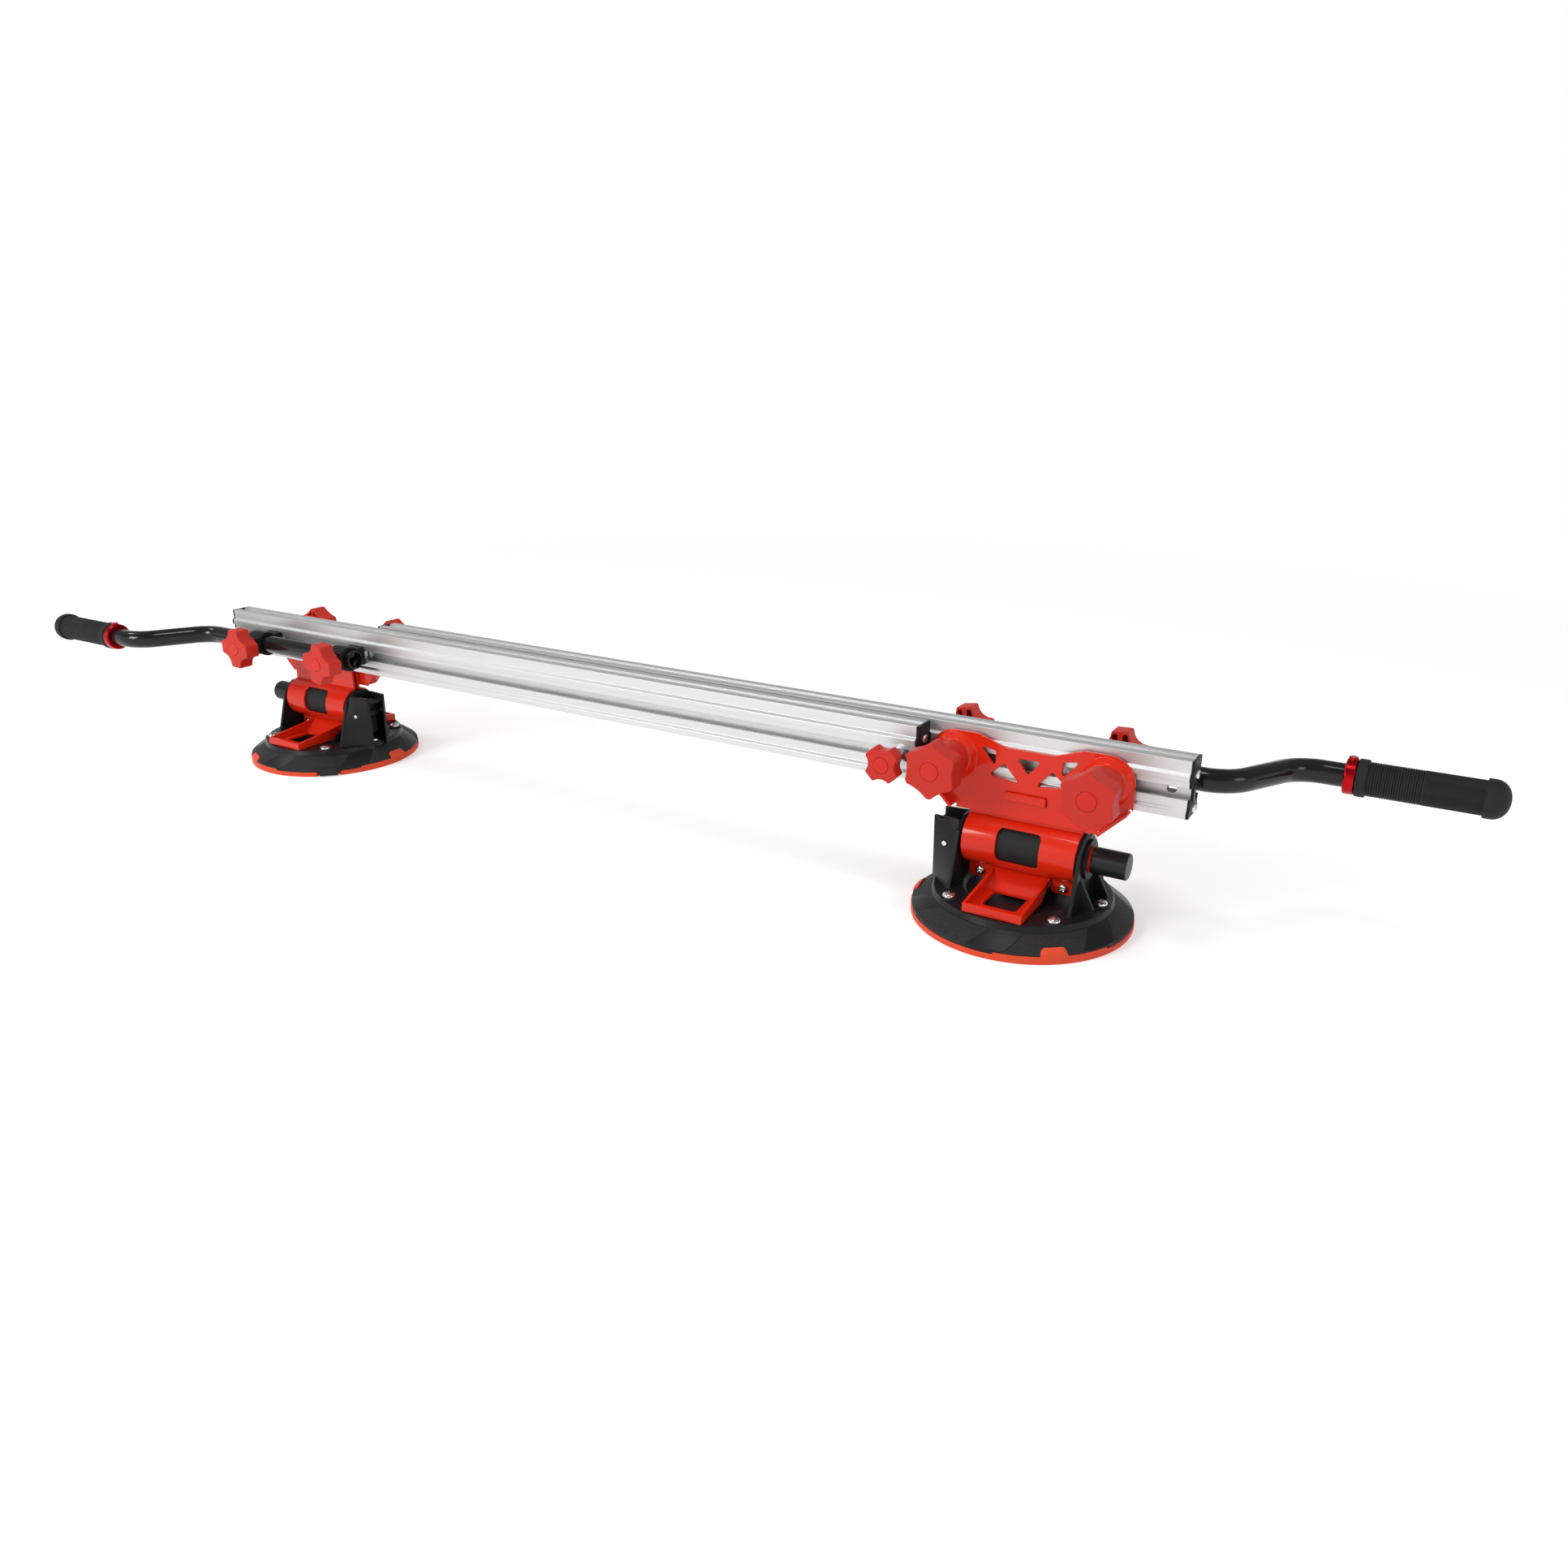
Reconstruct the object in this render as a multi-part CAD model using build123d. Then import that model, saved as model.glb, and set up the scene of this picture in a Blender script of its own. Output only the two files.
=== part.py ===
from build123d import *
import os
from math import atan2, cos, hypot, radians, sin, sqrt, tan

os.makedirs("parts", exist_ok=True)

# Large tile carrying frame, in millimetres, +Z up, +X along the rails.
# The right half is modelled on the rear rail. The left half is the same half turned 180 degrees.
# The origin is on the floor, midway between the two suction cups.

# Rail extrusion
rail_length = 1000.0
rail_reach = 622.0
rail_bottom = 127.0
rail_height = 52.0
rail_width = 30.7
rail_gap = 0.3
band_width = 25.0
lip_width = 26.0
low_ridge = 6.0
high_ridge = 33.5
ridge_face = 5.3
ridge_step = 2.3
slot_centre = 22.0
slot_mouth = 11.0
slot_width = 18.0
lip_wall = 3.5
web_thickness = 7.0
top_groove_width = 8.0
top_groove_depth = 2.0
chamber_width = 19.0
chamber_wall = 2.5
port_radius = 4.5
port_bore = 2.1
port_root = 0.5

# Rail end plates and their screws
end_plate_thickness = 2.5
plate_screw_radius = 2.0
plate_screw_length = 14.0
plate_screw_head = 4.0
plate_screw_head_height = 2.6

# T-bolts
bolt_radius = 4.0
bolt_clearance = 0.3
bolt_end_room = 1.0
nut_clearance = 0.05
t_head_length = 16.0
t_head_width = 16.0
t_head_thickness = 4.5
slide_gap = 0.15

# Truss plate of the bracket
sheet = 3.0
knob_pitch = 146.0
lobe_radius = 25.0
collapse_gap = 1.0
plate_bottom = 98.0
plate_foot = 140.0
shoulder_width = 100.0
waist_width = 46.0
waist_drop = 9.5
waist_round = 14.0
flange_width = 10.0
flange_relief = 2.5
boss_radius = 23.0
boss_top_radius = 18.5
boss_height = 8.5
boss_rim = 1.0
window_round = 1.5
middle_window_width = 23.0
middle_window_drop = 17.5
middle_window_height = 14.5
low_window_in = 8.0
low_window_width = 30.0
low_window_drop = 25.0
low_window_height = 17.0
low_window_lean = 4.0
side_window_in = 32.0
side_window_width = 16.0
side_window_drop = 11.0
side_window_height = 18.0
side_window_lean = 3.0
tongue_width = 39.0
tongue_height = 8.0
tongue_level = 119.0
tongue_proud = 3.0
tongue_clearance = 0.2

# Clamp half shells round the pump barrel
pinch_gap = 4.0
clamp_width = 110.0
clamp_clearance = 0.3
upstand_top = 125.0
window_width = 42.0
window_height = 31.5
window_lift = 3.8
window_corner = 5.0
tab_pitch = 82.0
tab_width = 24.0
tab_bottom = 31.0
tab_corner = 4.0
clamp_screw_level = 37.5
clamp_screw_radius = 2.5
clamp_screw_head = 4.6
clamp_screw_head_height = 3.4
clamp_nut_width = 8.0
clamp_nut_height = 4.0
tray_width = 57.0
tray_reach = 79.0
tray_floor_length = 53.0
tray_lip = 5.5
tray_back_level = 44.0
tray_hole_width = 33.0
tray_hole_length = 34.5
tray_hole_edge = 17.5
tray_hole_corner = 4.0
tray_seat_gap = 0.3

# Knobs
bracket_knob_lobes = 6
bracket_knob_turn = 30.0
bracket_knob_reach = 26.5
bracket_knob_flat = 6.0
bracket_knob_scoop = 3.6
bracket_knob_depth = 20.0
bracket_knob_front = 60.0
bracket_hub_radius = 18.0
small_knob_lobes = 4
small_hub_radius = 11.0
handle_knob_turns = (-9.0, -3.0)
handle_knob_reach = 24.0
handle_knob_flat = 15.5
handle_knob_scoop = 6.0
handle_knob_depth = 18.0
handle_knob_hub = 8.0
lock_knob_turn = 45.0
lock_knob_reach = 17.5
lock_knob_flat = 10.8
lock_knob_scoop = 3.2
lock_knob_front = 67.0
lock_knob_depth = 13.5
lock_knob_hub = 2.0
knob_clearance = 0.3
knob_wall = 3.0
knob_top = 4.0
knob_rib = 2.4
knob_round = 2.5
knob_land = 1.2
bracket_cap_radius = 10.5
small_cap_radius = 7.5
cap_recess = 1.6
cap_proud = 0.5
cap_clearance = 0.1
lock_sleeve_radius = 8.0

# Suction cup
cup_radius = 105.0
pad_height = 8.0
pad_lip_width = 8.0
pad_lip_bevel = 2.0
pad_roof = 3.5
pad_rise = 2.0
pad_rise_spread = 60.0
pad_tab_angles = (67, 187, 307)
pad_tab_spread = 13.5
pad_tab_gap = 0.3
pad_tab_length = 5.0
pad_tab_thickness = 1.4
pad_tab_corner = 3.0
base_setback = 2.5
base_rim = 2.5
shoulder_radius = 86.0
shoulder_level = 21.5
plateau_radius = 84.0
plateau_level = 27.0
recess_radius = 56.0
recess_depth = 3.0
base_wall = 4.5
lug_angle = 135.0
lug_width = 22.0
lug_proud = 2.0
lug_drop = 6.5
lug_room = 3.0
base_screw_circle = 76.0
base_screw_radius = 2.0
base_screw_angles = (0, 48, 132, 180, 228, 312)
base_boss_radius = 9.5
base_boss_height = 1.5
base_screw_length = 6.0
base_screw_fit = 0.1
base_screw_head = 5.0
base_screw_head_height = 3.0
base_screw_end_room = 0.7

# Uprights of the cup base and the pump between them
pump_level = 70.0
upright_wall = 3.5
upright_span = 114.5
upright_root = 15.0
upright_foot_width = 80.0
upright_shoulder_width = 47.0
upright_shoulder_level = 80.0
upright_top_width = 20.0
upright_top = 92.0
channel_depth = 27.0
channel_top = 88.0
channel_top_width = 34.0
mouth_foot_width = 26.0
mouth_top_width = 29.4
rib_reach = 15.0
rib_top = 58.0
rib_pitch = 40.0
rib_thickness = 3.0
barrel_radius = 14.5
barrel_fit = 0.1
barrel_end_wall = 3.0
barrel_collar = 3.0
barrel_collar_radius = 19.0
sleeve_radius = 22.0
sleeve_end_gap = 0.3
plunger_radius = 12.6
plunger_fit = 0.05
plunger_out = 34.5
plunger_length = 76.0
plunger_wall = 2.2
plunger_end = 3.0
plunger_band_width = 2.0
plunger_band_depth = 0.4
plunger_edge = 1.5
spring_radius = 9.5
spring_wire = 1.8
lever_pivot_level = 64.0
lever_pivot_inset = 12.25
lever_width = 17.0
lever_pin_radius = 2.5
lever_pin_fit = 0.05
lever_pin_proud = 2.0
lever_boss = 6.5
lever_arm = 6.0
lever_top = 91.0
lever_foot = 38.0
lever_thumb = 13.0

# Handle
tube_radius = 11.0
tube_wall = 1.8
tube_side = 34.5
tube_inset = 258.0
bend_radius = 40.0
bend_angle = 60.0
grip_side = 77.0
handle_bolt_inset = 237.0
handle_bolt_pitch = 155.0
saddle_width = 24.0
saddle_radius = 15.0
saddle_block_height = 22.0
saddle_nose_height = 20.0
saddle_nose = 1.0
saddle_clearance = 0.15
ring_set = 107.0
ring_width = 10.0
ring_radius = 16.5
ring_edge = 1.2
ring_boss_radius = 4.0
ring_boss_height = 2.0
grip_flange_width = 9.0
grip_flange_radius = 17.2
grip_flange_edge = 1.2
grip_radius = 15.5
grip_length = 101.0
grip_clearance = 0.05
cap_radius = 17.5
cap_skirt = 6.0
cap_dome = 14.0
cap_plug_length = 16.0

# Places that follow from these sizes
rail_start = rail_reach - rail_length
rail_y = (rail_width + rail_gap) / 2
slot_z = rail_bottom + slot_centre
ridge_half = rail_width / 2
band_half = band_width / 2
lip_half = lip_width / 2
web_half = web_thickness / 2
slot_bottom = slot_centre - slot_width / 2
slot_top = slot_centre + slot_width / 2
high_port = slot_top + chamber_wall + port_radius - port_root
low_port = slot_bottom / 2
inner_lip = rail_y - lip_half + lip_wall
outer_lip = rail_y + lip_half - lip_wall
rail_outer_face = rail_y + lip_half
plate_half = knob_pitch / 2 + lobe_radius
bracket_x = -rail_start + end_plate_thickness + collapse_gap + plate_half
cup_y = sheet + pinch_gap / 2
tube_y = rail_y + tube_side
grip_y = tube_y + grip_side
clamp_bore = sleeve_radius + clamp_clearance
clamp_outer = clamp_bore + sheet
upright_in = upright_span / 2
upright_out = upright_in + upright_wall
barrel_end = upright_out + barrel_collar
plunger_tip = barrel_end + plunger_out
plunger_root = plunger_tip - plunger_length
barrel_floor = barrel_end_wall - upright_in
base_radius = cup_radius - base_setback
base_bottom = pad_height
rim_top = base_bottom + base_rim
base_underside = plateau_level - recess_depth - base_wall
base_seat = plateau_level + base_boss_height
lever_x = -(upright_out + lever_pivot_inset)
pin_hole = lever_pin_radius + lever_pin_fit
bolt_hole = bolt_radius + bolt_clearance
lock_seat = lock_knob_front - lock_knob_depth - lock_knob_hub
boss_seat = -(sheet + boss_height)
bracket_hub = bracket_knob_front - bracket_knob_depth + boss_seat
knob_places = (bracket_x - knob_pitch / 2, bracket_x + knob_pitch / 2)
bracket_knob_sweep = hypot(bracket_knob_reach, bracket_knob_flat / 2)
lock_knob_sweep = hypot(lock_knob_reach, lock_knob_flat / 2)
lock_x = bracket_knob_sweep + lock_knob_sweep + knob_clearance - knob_places[0]
handle_start = rail_reach - handle_bolt_inset
handle_bolts_x = (handle_start, handle_start + handle_bolt_pitch)
saddle_nose_face = tube_y + saddle_radius + saddle_nose
ring_start = rail_reach + ring_set
grip_start = ring_start + ring_width
grip_end = grip_start + grip_length
grip_bore = tube_radius + grip_clearance
to_cup = Pos(bracket_x, cup_y, 0)
to_grip = Pos(0, grip_y, slot_z) * Rot(0, 90, 0)


def rod_x(radius, start, stop, y, z):
    """Round bar along X."""
    return Pos((start + stop) / 2, y, z) * Rot(0, 90, 0) * Cylinder(radius, abs(stop - start))


def rod_y(radius, start, stop, x, z):
    """Round bar along Y."""
    return Pos(x, (start + stop) / 2, z) * Rot(90, 0, 0) * Cylinder(radius, abs(stop - start))


def rod_z(radius, start, stop, x, y):
    """Round bar along Z."""
    return Pos(x, y, (start + stop) / 2) * Cylinder(radius, abs(stop - start))


def block(x0, x1, y0, y1, z0, z1):
    """Box between two corners."""
    return Pos((x0 + x1) / 2, (y0 + y1) / 2, (z0 + z1) / 2) * Box(x1 - x0, y1 - y0, z1 - z0)


def outline(points):
    """Face inside a closed run of straight edges."""
    return make_face(Polyline(*points, close=True))


def across_x(face, start, stop):
    """Solid from a face drawn in Y and Z, from one X to another."""
    return extrude(Plane.YZ.offset(start) * face, stop - start)


def across_y(face, front, back):
    """Solid from a face drawn in X and Z, from one Y to another."""
    return extrude(Plane.XZ.offset(-back) * face, back - front)


def ring_of(points):
    """Solid of revolution about Z from a half section in radius and height."""
    return revolve(Plane.XZ * outline(points), Axis.Z)


# Rail: a two-slot extrusion with a grooved top, two screw chambers and a bolt hole near each end
def rail_outline():
    side = [
        (ridge_half, 0),
        (ridge_half, low_ridge),
        (lip_half, low_ridge + ridge_step),
        (lip_half, high_ridge),
        (ridge_half, high_ridge),
        (ridge_half, high_ridge + ridge_face),
        (band_half, high_ridge + ridge_face + ridge_step),
        (band_half, rail_height),
    ]
    other_side = [(-y, z) for y, z in reversed(side)]
    return Pos(rail_y, rail_bottom) * outline(side + other_side)


def rail_profile():
    mouth = Rectangle(ridge_half, slot_mouth, align=(Align.MIN, Align.CENTER))
    cavity = Rectangle(lip_half - lip_wall - web_half, slot_width, align=(Align.MIN, Align.CENTER))
    slot = Pos(web_half, slot_centre) * (mouth + cavity)
    groove = Pos(0, rail_height) * Rectangle(
        top_groove_width, top_groove_depth, align=(Align.CENTER, Align.MAX)
    )
    high_floor = slot_top + chamber_wall
    high_roof = rail_height - top_groove_depth - chamber_wall
    low_roof = slot_bottom - chamber_wall
    high = Pos(0, (high_floor + high_roof) / 2) * Rectangle(chamber_width, high_roof - high_floor)
    low = Pos(0, (chamber_wall + low_roof) / 2) * Rectangle(chamber_width, low_roof - chamber_wall)
    hollows = slot + mirror(slot, Plane.YZ) + groove + high + low
    for level in (high_port, low_port):
        hollows -= Pos(0, level) * Circle(port_radius)
        hollows += Pos(0, level) * Circle(port_bore)
    return rail_outline() - Pos(rail_y, rail_bottom) * hollows


def rail():
    bar = across_x(rail_profile(), rail_start, rail_reach)
    for x in (lock_x, rail_reach + rail_start - lock_x):
        bar -= rod_y(bolt_hole, rail_y - ridge_half, rail_y + ridge_half, x, slot_z)
    return bar


def rail_end_plates():
    plates = []
    for start in (rail_start - end_plate_thickness, rail_reach):
        plate = across_x(rail_outline(), start, start + end_plate_thickness)
        for level in (high_port, low_port):
            hole = plate_screw_radius + bolt_clearance
            plate -= rod_x(hole, start, start + end_plate_thickness, rail_y, rail_bottom + level)
        plates.append(plate)
    return Compound(plates)


def end_plate_screws():
    screws = []
    for end, way in ((rail_start - end_plate_thickness, 1), (rail_reach + end_plate_thickness, -1)):
        for level in (high_port, low_port):
            z = rail_bottom + level
            shank = rod_x(plate_screw_radius, end, end + way * plate_screw_length, rail_y, z)
            head = rod_x(plate_screw_head, end, end - way * plate_screw_head_height, rail_y, z)
            screws.append(shank + head)
    return Compound(screws)


# T-bolts ride in the rail slots and carry every knob
def t_bolt(x, lip, way, tip):
    near = lip - way * slide_gap
    far = near - way * t_head_thickness
    head = Pos(x, (near + far) / 2, slot_z) * Box(t_head_length, t_head_thickness, t_head_width)
    return head + rod_y(bolt_radius, near, tip, x, slot_z)


# Knobs: lobed and scooped outline, hollow ribbed underside, blind bore and a round cap
def lobe_corners(lobes, reach, flat):
    """Two corners at the end of every lobe, in order round the knob."""
    corners = []
    for number in range(lobes):
        turn = radians(number * 360 / lobes)
        for side in (-flat / 2, flat / 2):
            corners.append((reach * cos(turn) - side * sin(turn), reach * sin(turn) + side * cos(turn)))
    return corners


def lobe_gap(lobes, reach, flat):
    """Distance to the middle of the line between two lobes, and half its length."""
    half_step = radians(180 / lobes)
    middle = reach * cos(half_step) + flat / 2 * sin(half_step)
    return middle, reach * sin(half_step) - flat / 2 * cos(half_step)


def lobed_face(lobes, reach, flat, scoop):
    """Outline with a round scoop between each two lobes."""
    face = outline(lobe_corners(lobes, reach, flat))
    middle, half = lobe_gap(lobes, reach, flat)
    land = knob_land * knob_round * tan(radians(90 / lobes))
    half -= land
    curve = (half**2 + scoop**2) / (2 * scoop)
    for number in range(lobes):
        face -= Rot(0, 0, (number + 0.5) * 360 / lobes) * Pos(middle - scoop + curve, 0) * Circle(curve)
    far_corner = hypot(reach, flat / 2)
    tips = [v for v in face.vertices() if hypot(v.X, v.Y) > far_corner - land / 4]
    return fillet(tips, knob_round)


def pocket_face(lobes, reach, flat, scoop):
    """Outline of the hollow, one wall in from the lobes and the scoops."""
    corners = lobe_corners(lobes, reach - knob_wall, flat - knob_wall)
    middle, half = lobe_gap(lobes, reach, flat)
    valley = middle - scoop - knob_wall
    points = []
    for number in range(lobes):
        turn = radians((number + 0.5) * 360 / lobes)
        points += corners[2 * number:2 * number + 2]
        points.append((valley * cos(turn), valley * sin(turn)))
    return outline(points)


def knob(lobes, reach, flat, scoop, depth, hub_radius, hub, cap):
    front = hub + depth
    body = Pos(0, 0, hub) * extrude(lobed_face(lobes, reach, flat, scoop), depth)
    hollow = Pos(0, 0, hub) * extrude(pocket_face(lobes, reach, flat, scoop), depth - knob_top)
    hollow -= rod_z(hub_radius, hub, front, 0, 0)
    for number in range(lobes):
        rib = Pos(reach / 2, 0, hub + depth / 2) * Box(reach, knob_rib, depth)
        hollow -= Rot(0, 0, number * 360 / lobes) * rib
    body = body - hollow + rod_z(hub_radius, 0, hub, 0, 0)
    body -= rod_z(bolt_hole, 0, front - knob_top, 0, 0)
    body -= rod_z(cap, front - cap_recess, front, 0, 0)
    disc = rod_z(cap - cap_clearance, front - cap_recess, front + cap_proud, 0, 0)
    return Compound([body, disc])


# Length lock: a T-bolt through this rail into the other rail's inner slot
def lock_bolt():
    tip = lock_knob_front - knob_top - bolt_end_room
    return t_bolt(lock_x, -inner_lip, 1, tip)


def lock_sleeve():
    sleeve = rod_y(lock_sleeve_radius, rail_outer_face, lock_seat, lock_x, slot_z)
    return sleeve - rod_y(bolt_hole, rail_outer_face, lock_seat, lock_x, slot_z)


def lock_knob():
    shape = knob(
        small_knob_lobes, lock_knob_reach, lock_knob_flat, lock_knob_scoop, lock_knob_depth,
        small_hub_radius, lock_knob_hub, small_cap_radius,
    )
    return Pos(lock_x, lock_seat, slot_z) * Rot(-90, 0, 0) * Rot(0, 0, lock_knob_turn) * shape


# Truss plate: pressed sheet with windows, two bent flanges and two raised bosses
def rounded(points, radius):
    face = outline(points)
    return fillet(face.vertices(), radius)


def both_ways(face):
    return face + mirror(face, Plane.YZ)


def truss_face():
    half_foot = plate_foot / 2
    bend = plate_bottom + plate_half - half_foot
    crest = slot_z + lobe_radius
    right = [
        (half_foot, plate_bottom),
        (plate_half, bend),
        (plate_half, slot_z),
        (knob_pitch / 2, crest),
        (shoulder_width / 2, crest),
        (waist_width / 2, crest - waist_drop),
    ]
    left = [(-x, z) for x, z in reversed(right)]
    face = outline(right + left)
    waist = face.vertices().filter_by_position(Axis.X, -waist_width / 2, waist_width / 2)
    face = fillet(waist, waist_round)
    return face + both_ways(Pos(knob_pitch / 2, slot_z) * Circle(lobe_radius))


def truss_windows():
    crest = slot_z + lobe_radius
    side_top = crest - side_window_drop
    side = rounded([
        (side_window_in, side_top - side_window_height),
        (side_window_in + side_window_width, side_top),
        (side_window_in, side_top - side_window_lean),
    ], window_round)
    low_top = crest - low_window_drop
    low_foot = low_top - low_window_height
    low = rounded([
        (low_window_in, low_foot),
        (low_window_in + low_window_width / 2, low_top),
        (low_window_in + low_window_width, low_foot + low_window_lean),
    ], window_round)
    middle_top = crest - middle_window_drop
    middle = rounded([
        (-middle_window_width / 2, middle_top),
        (middle_window_width / 2, middle_top),
        (0, middle_top - middle_window_height),
    ], window_round)
    return both_ways(side) + both_ways(low) + middle


def boss():
    """Pressed cone of even sheet round a knob bolt, drawn in radius and distance from the rail."""
    lean = boss_radius - boss_top_radius
    thick = sheet * hypot(lean, boss_height) / boss_height
    section = [
        (bolt_hole, boss_height),
        (bolt_hole, sheet + boss_height),
        (boss_top_radius, sheet + boss_height),
        (boss_radius, sheet),
        (boss_radius + boss_rim, sheet),
        (boss_radius + boss_rim, 0),
        (boss_radius + lean * sheet / boss_height - thick, 0),
        (boss_top_radius + lean * sheet / boss_height - thick, boss_height),
    ]
    return ring_of(section)


def bracket_plate():
    plate = across_y(Pos(bracket_x, 0) * (truss_face() - truss_windows()), -sheet, 0)
    for x in knob_places:
        plate -= rod_y(boss_radius, -sheet, 0, x, slot_z)
        plate += Pos(x, 0, slot_z) * Rot(90, 0, 0) * boss()
    run = plate_half - plate_foot / 2
    edge = run * sqrt(2)
    for way in (1, -1):
        middle = bracket_x + way * (plate_half + plate_foot / 2) / 2
        turn = Pos(middle, plate_bottom + run / 2) * Rot(0, 0, way * 45)
        strip = turn * Pos(0, sheet / 2) * Rectangle(edge - 2 * flange_relief, sheet)
        plate += across_y(strip, -sheet - flange_width, 0)
        for end in (-1, 1):
            notch = turn * Pos(end * (edge - flange_relief) / 2, 0) * Rectangle(flange_relief, 2 * sheet)
            plate -= across_y(notch, -sheet, 0)
    slot = tongue_clearance
    return plate - block(
        bracket_x - tongue_width / 2 - slot, bracket_x + tongue_width / 2 + slot, -sheet, 0,
        tongue_level - tongue_height / 2 - slot, tongue_level + tongue_height / 2 + slot,
    )


def bracket_bolts():
    tip = -(bracket_knob_front - knob_top - bolt_end_room)
    return Compound([t_bolt(x, inner_lip, -1, tip) for x in knob_places])


def bracket_knob(x):
    shape = knob(
        bracket_knob_lobes, bracket_knob_reach, bracket_knob_flat, bracket_knob_scoop,
        bracket_knob_depth, bracket_hub_radius, bracket_hub, bracket_cap_radius,
    )
    return Pos(x, boss_seat, slot_z) * Rot(90, 0, 0) * Rot(0, 0, bracket_knob_turn) * shape


# Clamp half shells, drawn round the cup's own middle, front one towards -Y
def clamp_half():
    ring = Pos(0, pump_level) * (Circle(clamp_outer) - Circle(clamp_bore))
    room = 2 * clamp_outer
    ring -= Pos(-pinch_gap / 2, pump_level) * Rectangle(room, 2 * room, align=(Align.MIN, Align.CENTER))
    back = -pinch_gap / 2
    face = back - sheet
    crest = pump_level + clamp_bore
    rise = Pos(face, crest) * Rectangle(sheet, upstand_top - crest, align=Align.MIN)
    half = across_x(ring + rise, -clamp_width / 2, clamp_width / 2)
    window = Pos(0, pump_level + window_lift) * RectangleRounded(window_width, window_height, window_corner)
    half -= across_y(window, -room, face)
    for way in (1, -1):
        x = way * tab_pitch / 2
        tab = block(x - tab_width / 2, x + tab_width / 2, face, back, tab_bottom, pump_level - clamp_bore)
        tab = fillet(tab.faces().sort_by(Axis.Z)[0].edges().filter_by(Axis.Y), tab_corner)
        half += tab - rod_y(clamp_screw_radius + bolt_clearance, face, back, x, clamp_screw_level)
    floor = plateau_level + tray_seat_gap
    crease = -tray_reach + tray_floor_length
    belly = pump_level - sqrt(clamp_bore**2 - back**2) - sheet / 2
    panel = [
        (-tray_reach, floor),
        (crease, floor),
        (back, belly - sheet / 2),
        (back, belly),
        (back - sheet, belly),
        (crease, floor + sheet),
        (-tray_reach, floor + sheet),
    ]
    half += across_x(outline(panel), -tray_width / 2, tray_width / 2)
    wall = [
        (-tray_reach, floor),
        (crease, floor),
        (back - sheet, tray_back_level - sheet),
        (back - sheet, tray_back_level),
        (-tray_reach, floor + sheet + tray_lip),
    ]
    for start in (-tray_width / 2, tray_width / 2 - sheet):
        half += across_x(outline(wall), start, start + sheet)
    lip_top = floor + sheet + tray_lip
    half += block(-tray_width / 2, tray_width / 2, -tray_reach, sheet - tray_reach, floor, lip_top)
    hole = RectangleRounded(tray_hole_width, tray_hole_length, tray_hole_corner)
    hole_middle = tray_hole_edge + tray_hole_length / 2 - tray_reach
    return half - Pos(0, hole_middle, floor) * extrude(hole, sheet)


def clamp_front():
    room = tongue_clearance
    slot = block(
        -tongue_width / 2 - room, tongue_width / 2 + room, -cup_y, -pinch_gap / 2,
        tongue_level - tongue_height / 2 - room, tongue_level + tongue_height / 2 + room,
    )
    return to_cup * (clamp_half() - slot)


def clamp_rear():
    tongue = block(
        -tongue_width / 2, tongue_width / 2, -cup_y - sheet - tongue_proud, pinch_gap / 2 + sheet,
        tongue_level - tongue_height / 2, tongue_level + tongue_height / 2,
    )
    return to_cup * (Rot(0, 0, 180) * clamp_half() + tongue)


def clamp_screws():
    pieces = []
    face = pinch_gap / 2 + sheet
    nut_end = face + clamp_nut_height
    for x in (-tab_pitch / 2, tab_pitch / 2):
        z = clamp_screw_level
        head = rod_y(clamp_screw_head, -face, -face - clamp_screw_head_height, x, z)
        pieces.append(head + rod_y(clamp_screw_radius, -face, nut_end + bolt_end_room, x, z))
        hexagon = RegularPolygon(clamp_nut_width / 2, 6, major_radius=False)
        nut = across_y(Pos(x, z) * hexagon, face, nut_end)
        pieces.append(nut - rod_y(clamp_screw_radius + nut_clearance, face, nut_end, x, z))
    return to_cup * Compound(pieces)


# Suction cup: rubber pad, base with its uprights and screws
skirt_lean = atan2(shoulder_level - rim_top, base_radius - shoulder_radius)


def off_skirt(offset, run):
    """Radius and height of a point off the sloping skirt of the base, from its rim upwards."""
    radius = base_radius + offset * sin(skirt_lean) - run * cos(skirt_lean)
    return (radius, rim_top + offset * cos(skirt_lean) + run * sin(skirt_lean))


def on_skirt(offset, radius):
    """The same point, found by its radius."""
    return off_skirt(offset, (base_radius + offset * sin(skirt_lean) - radius) / cos(skirt_lean))


def base_skirt_foot():
    """Inner radius of the base's bottom rim."""
    return base_radius - base_wall - base_rim


def sector_of(points, angle, spread):
    """Part of a solid of revolution about Z, centred on an angle."""
    return Rot(0, 0, angle - spread / 2) * revolve(Plane.XZ * outline(points), Axis.Z, spread)


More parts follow.
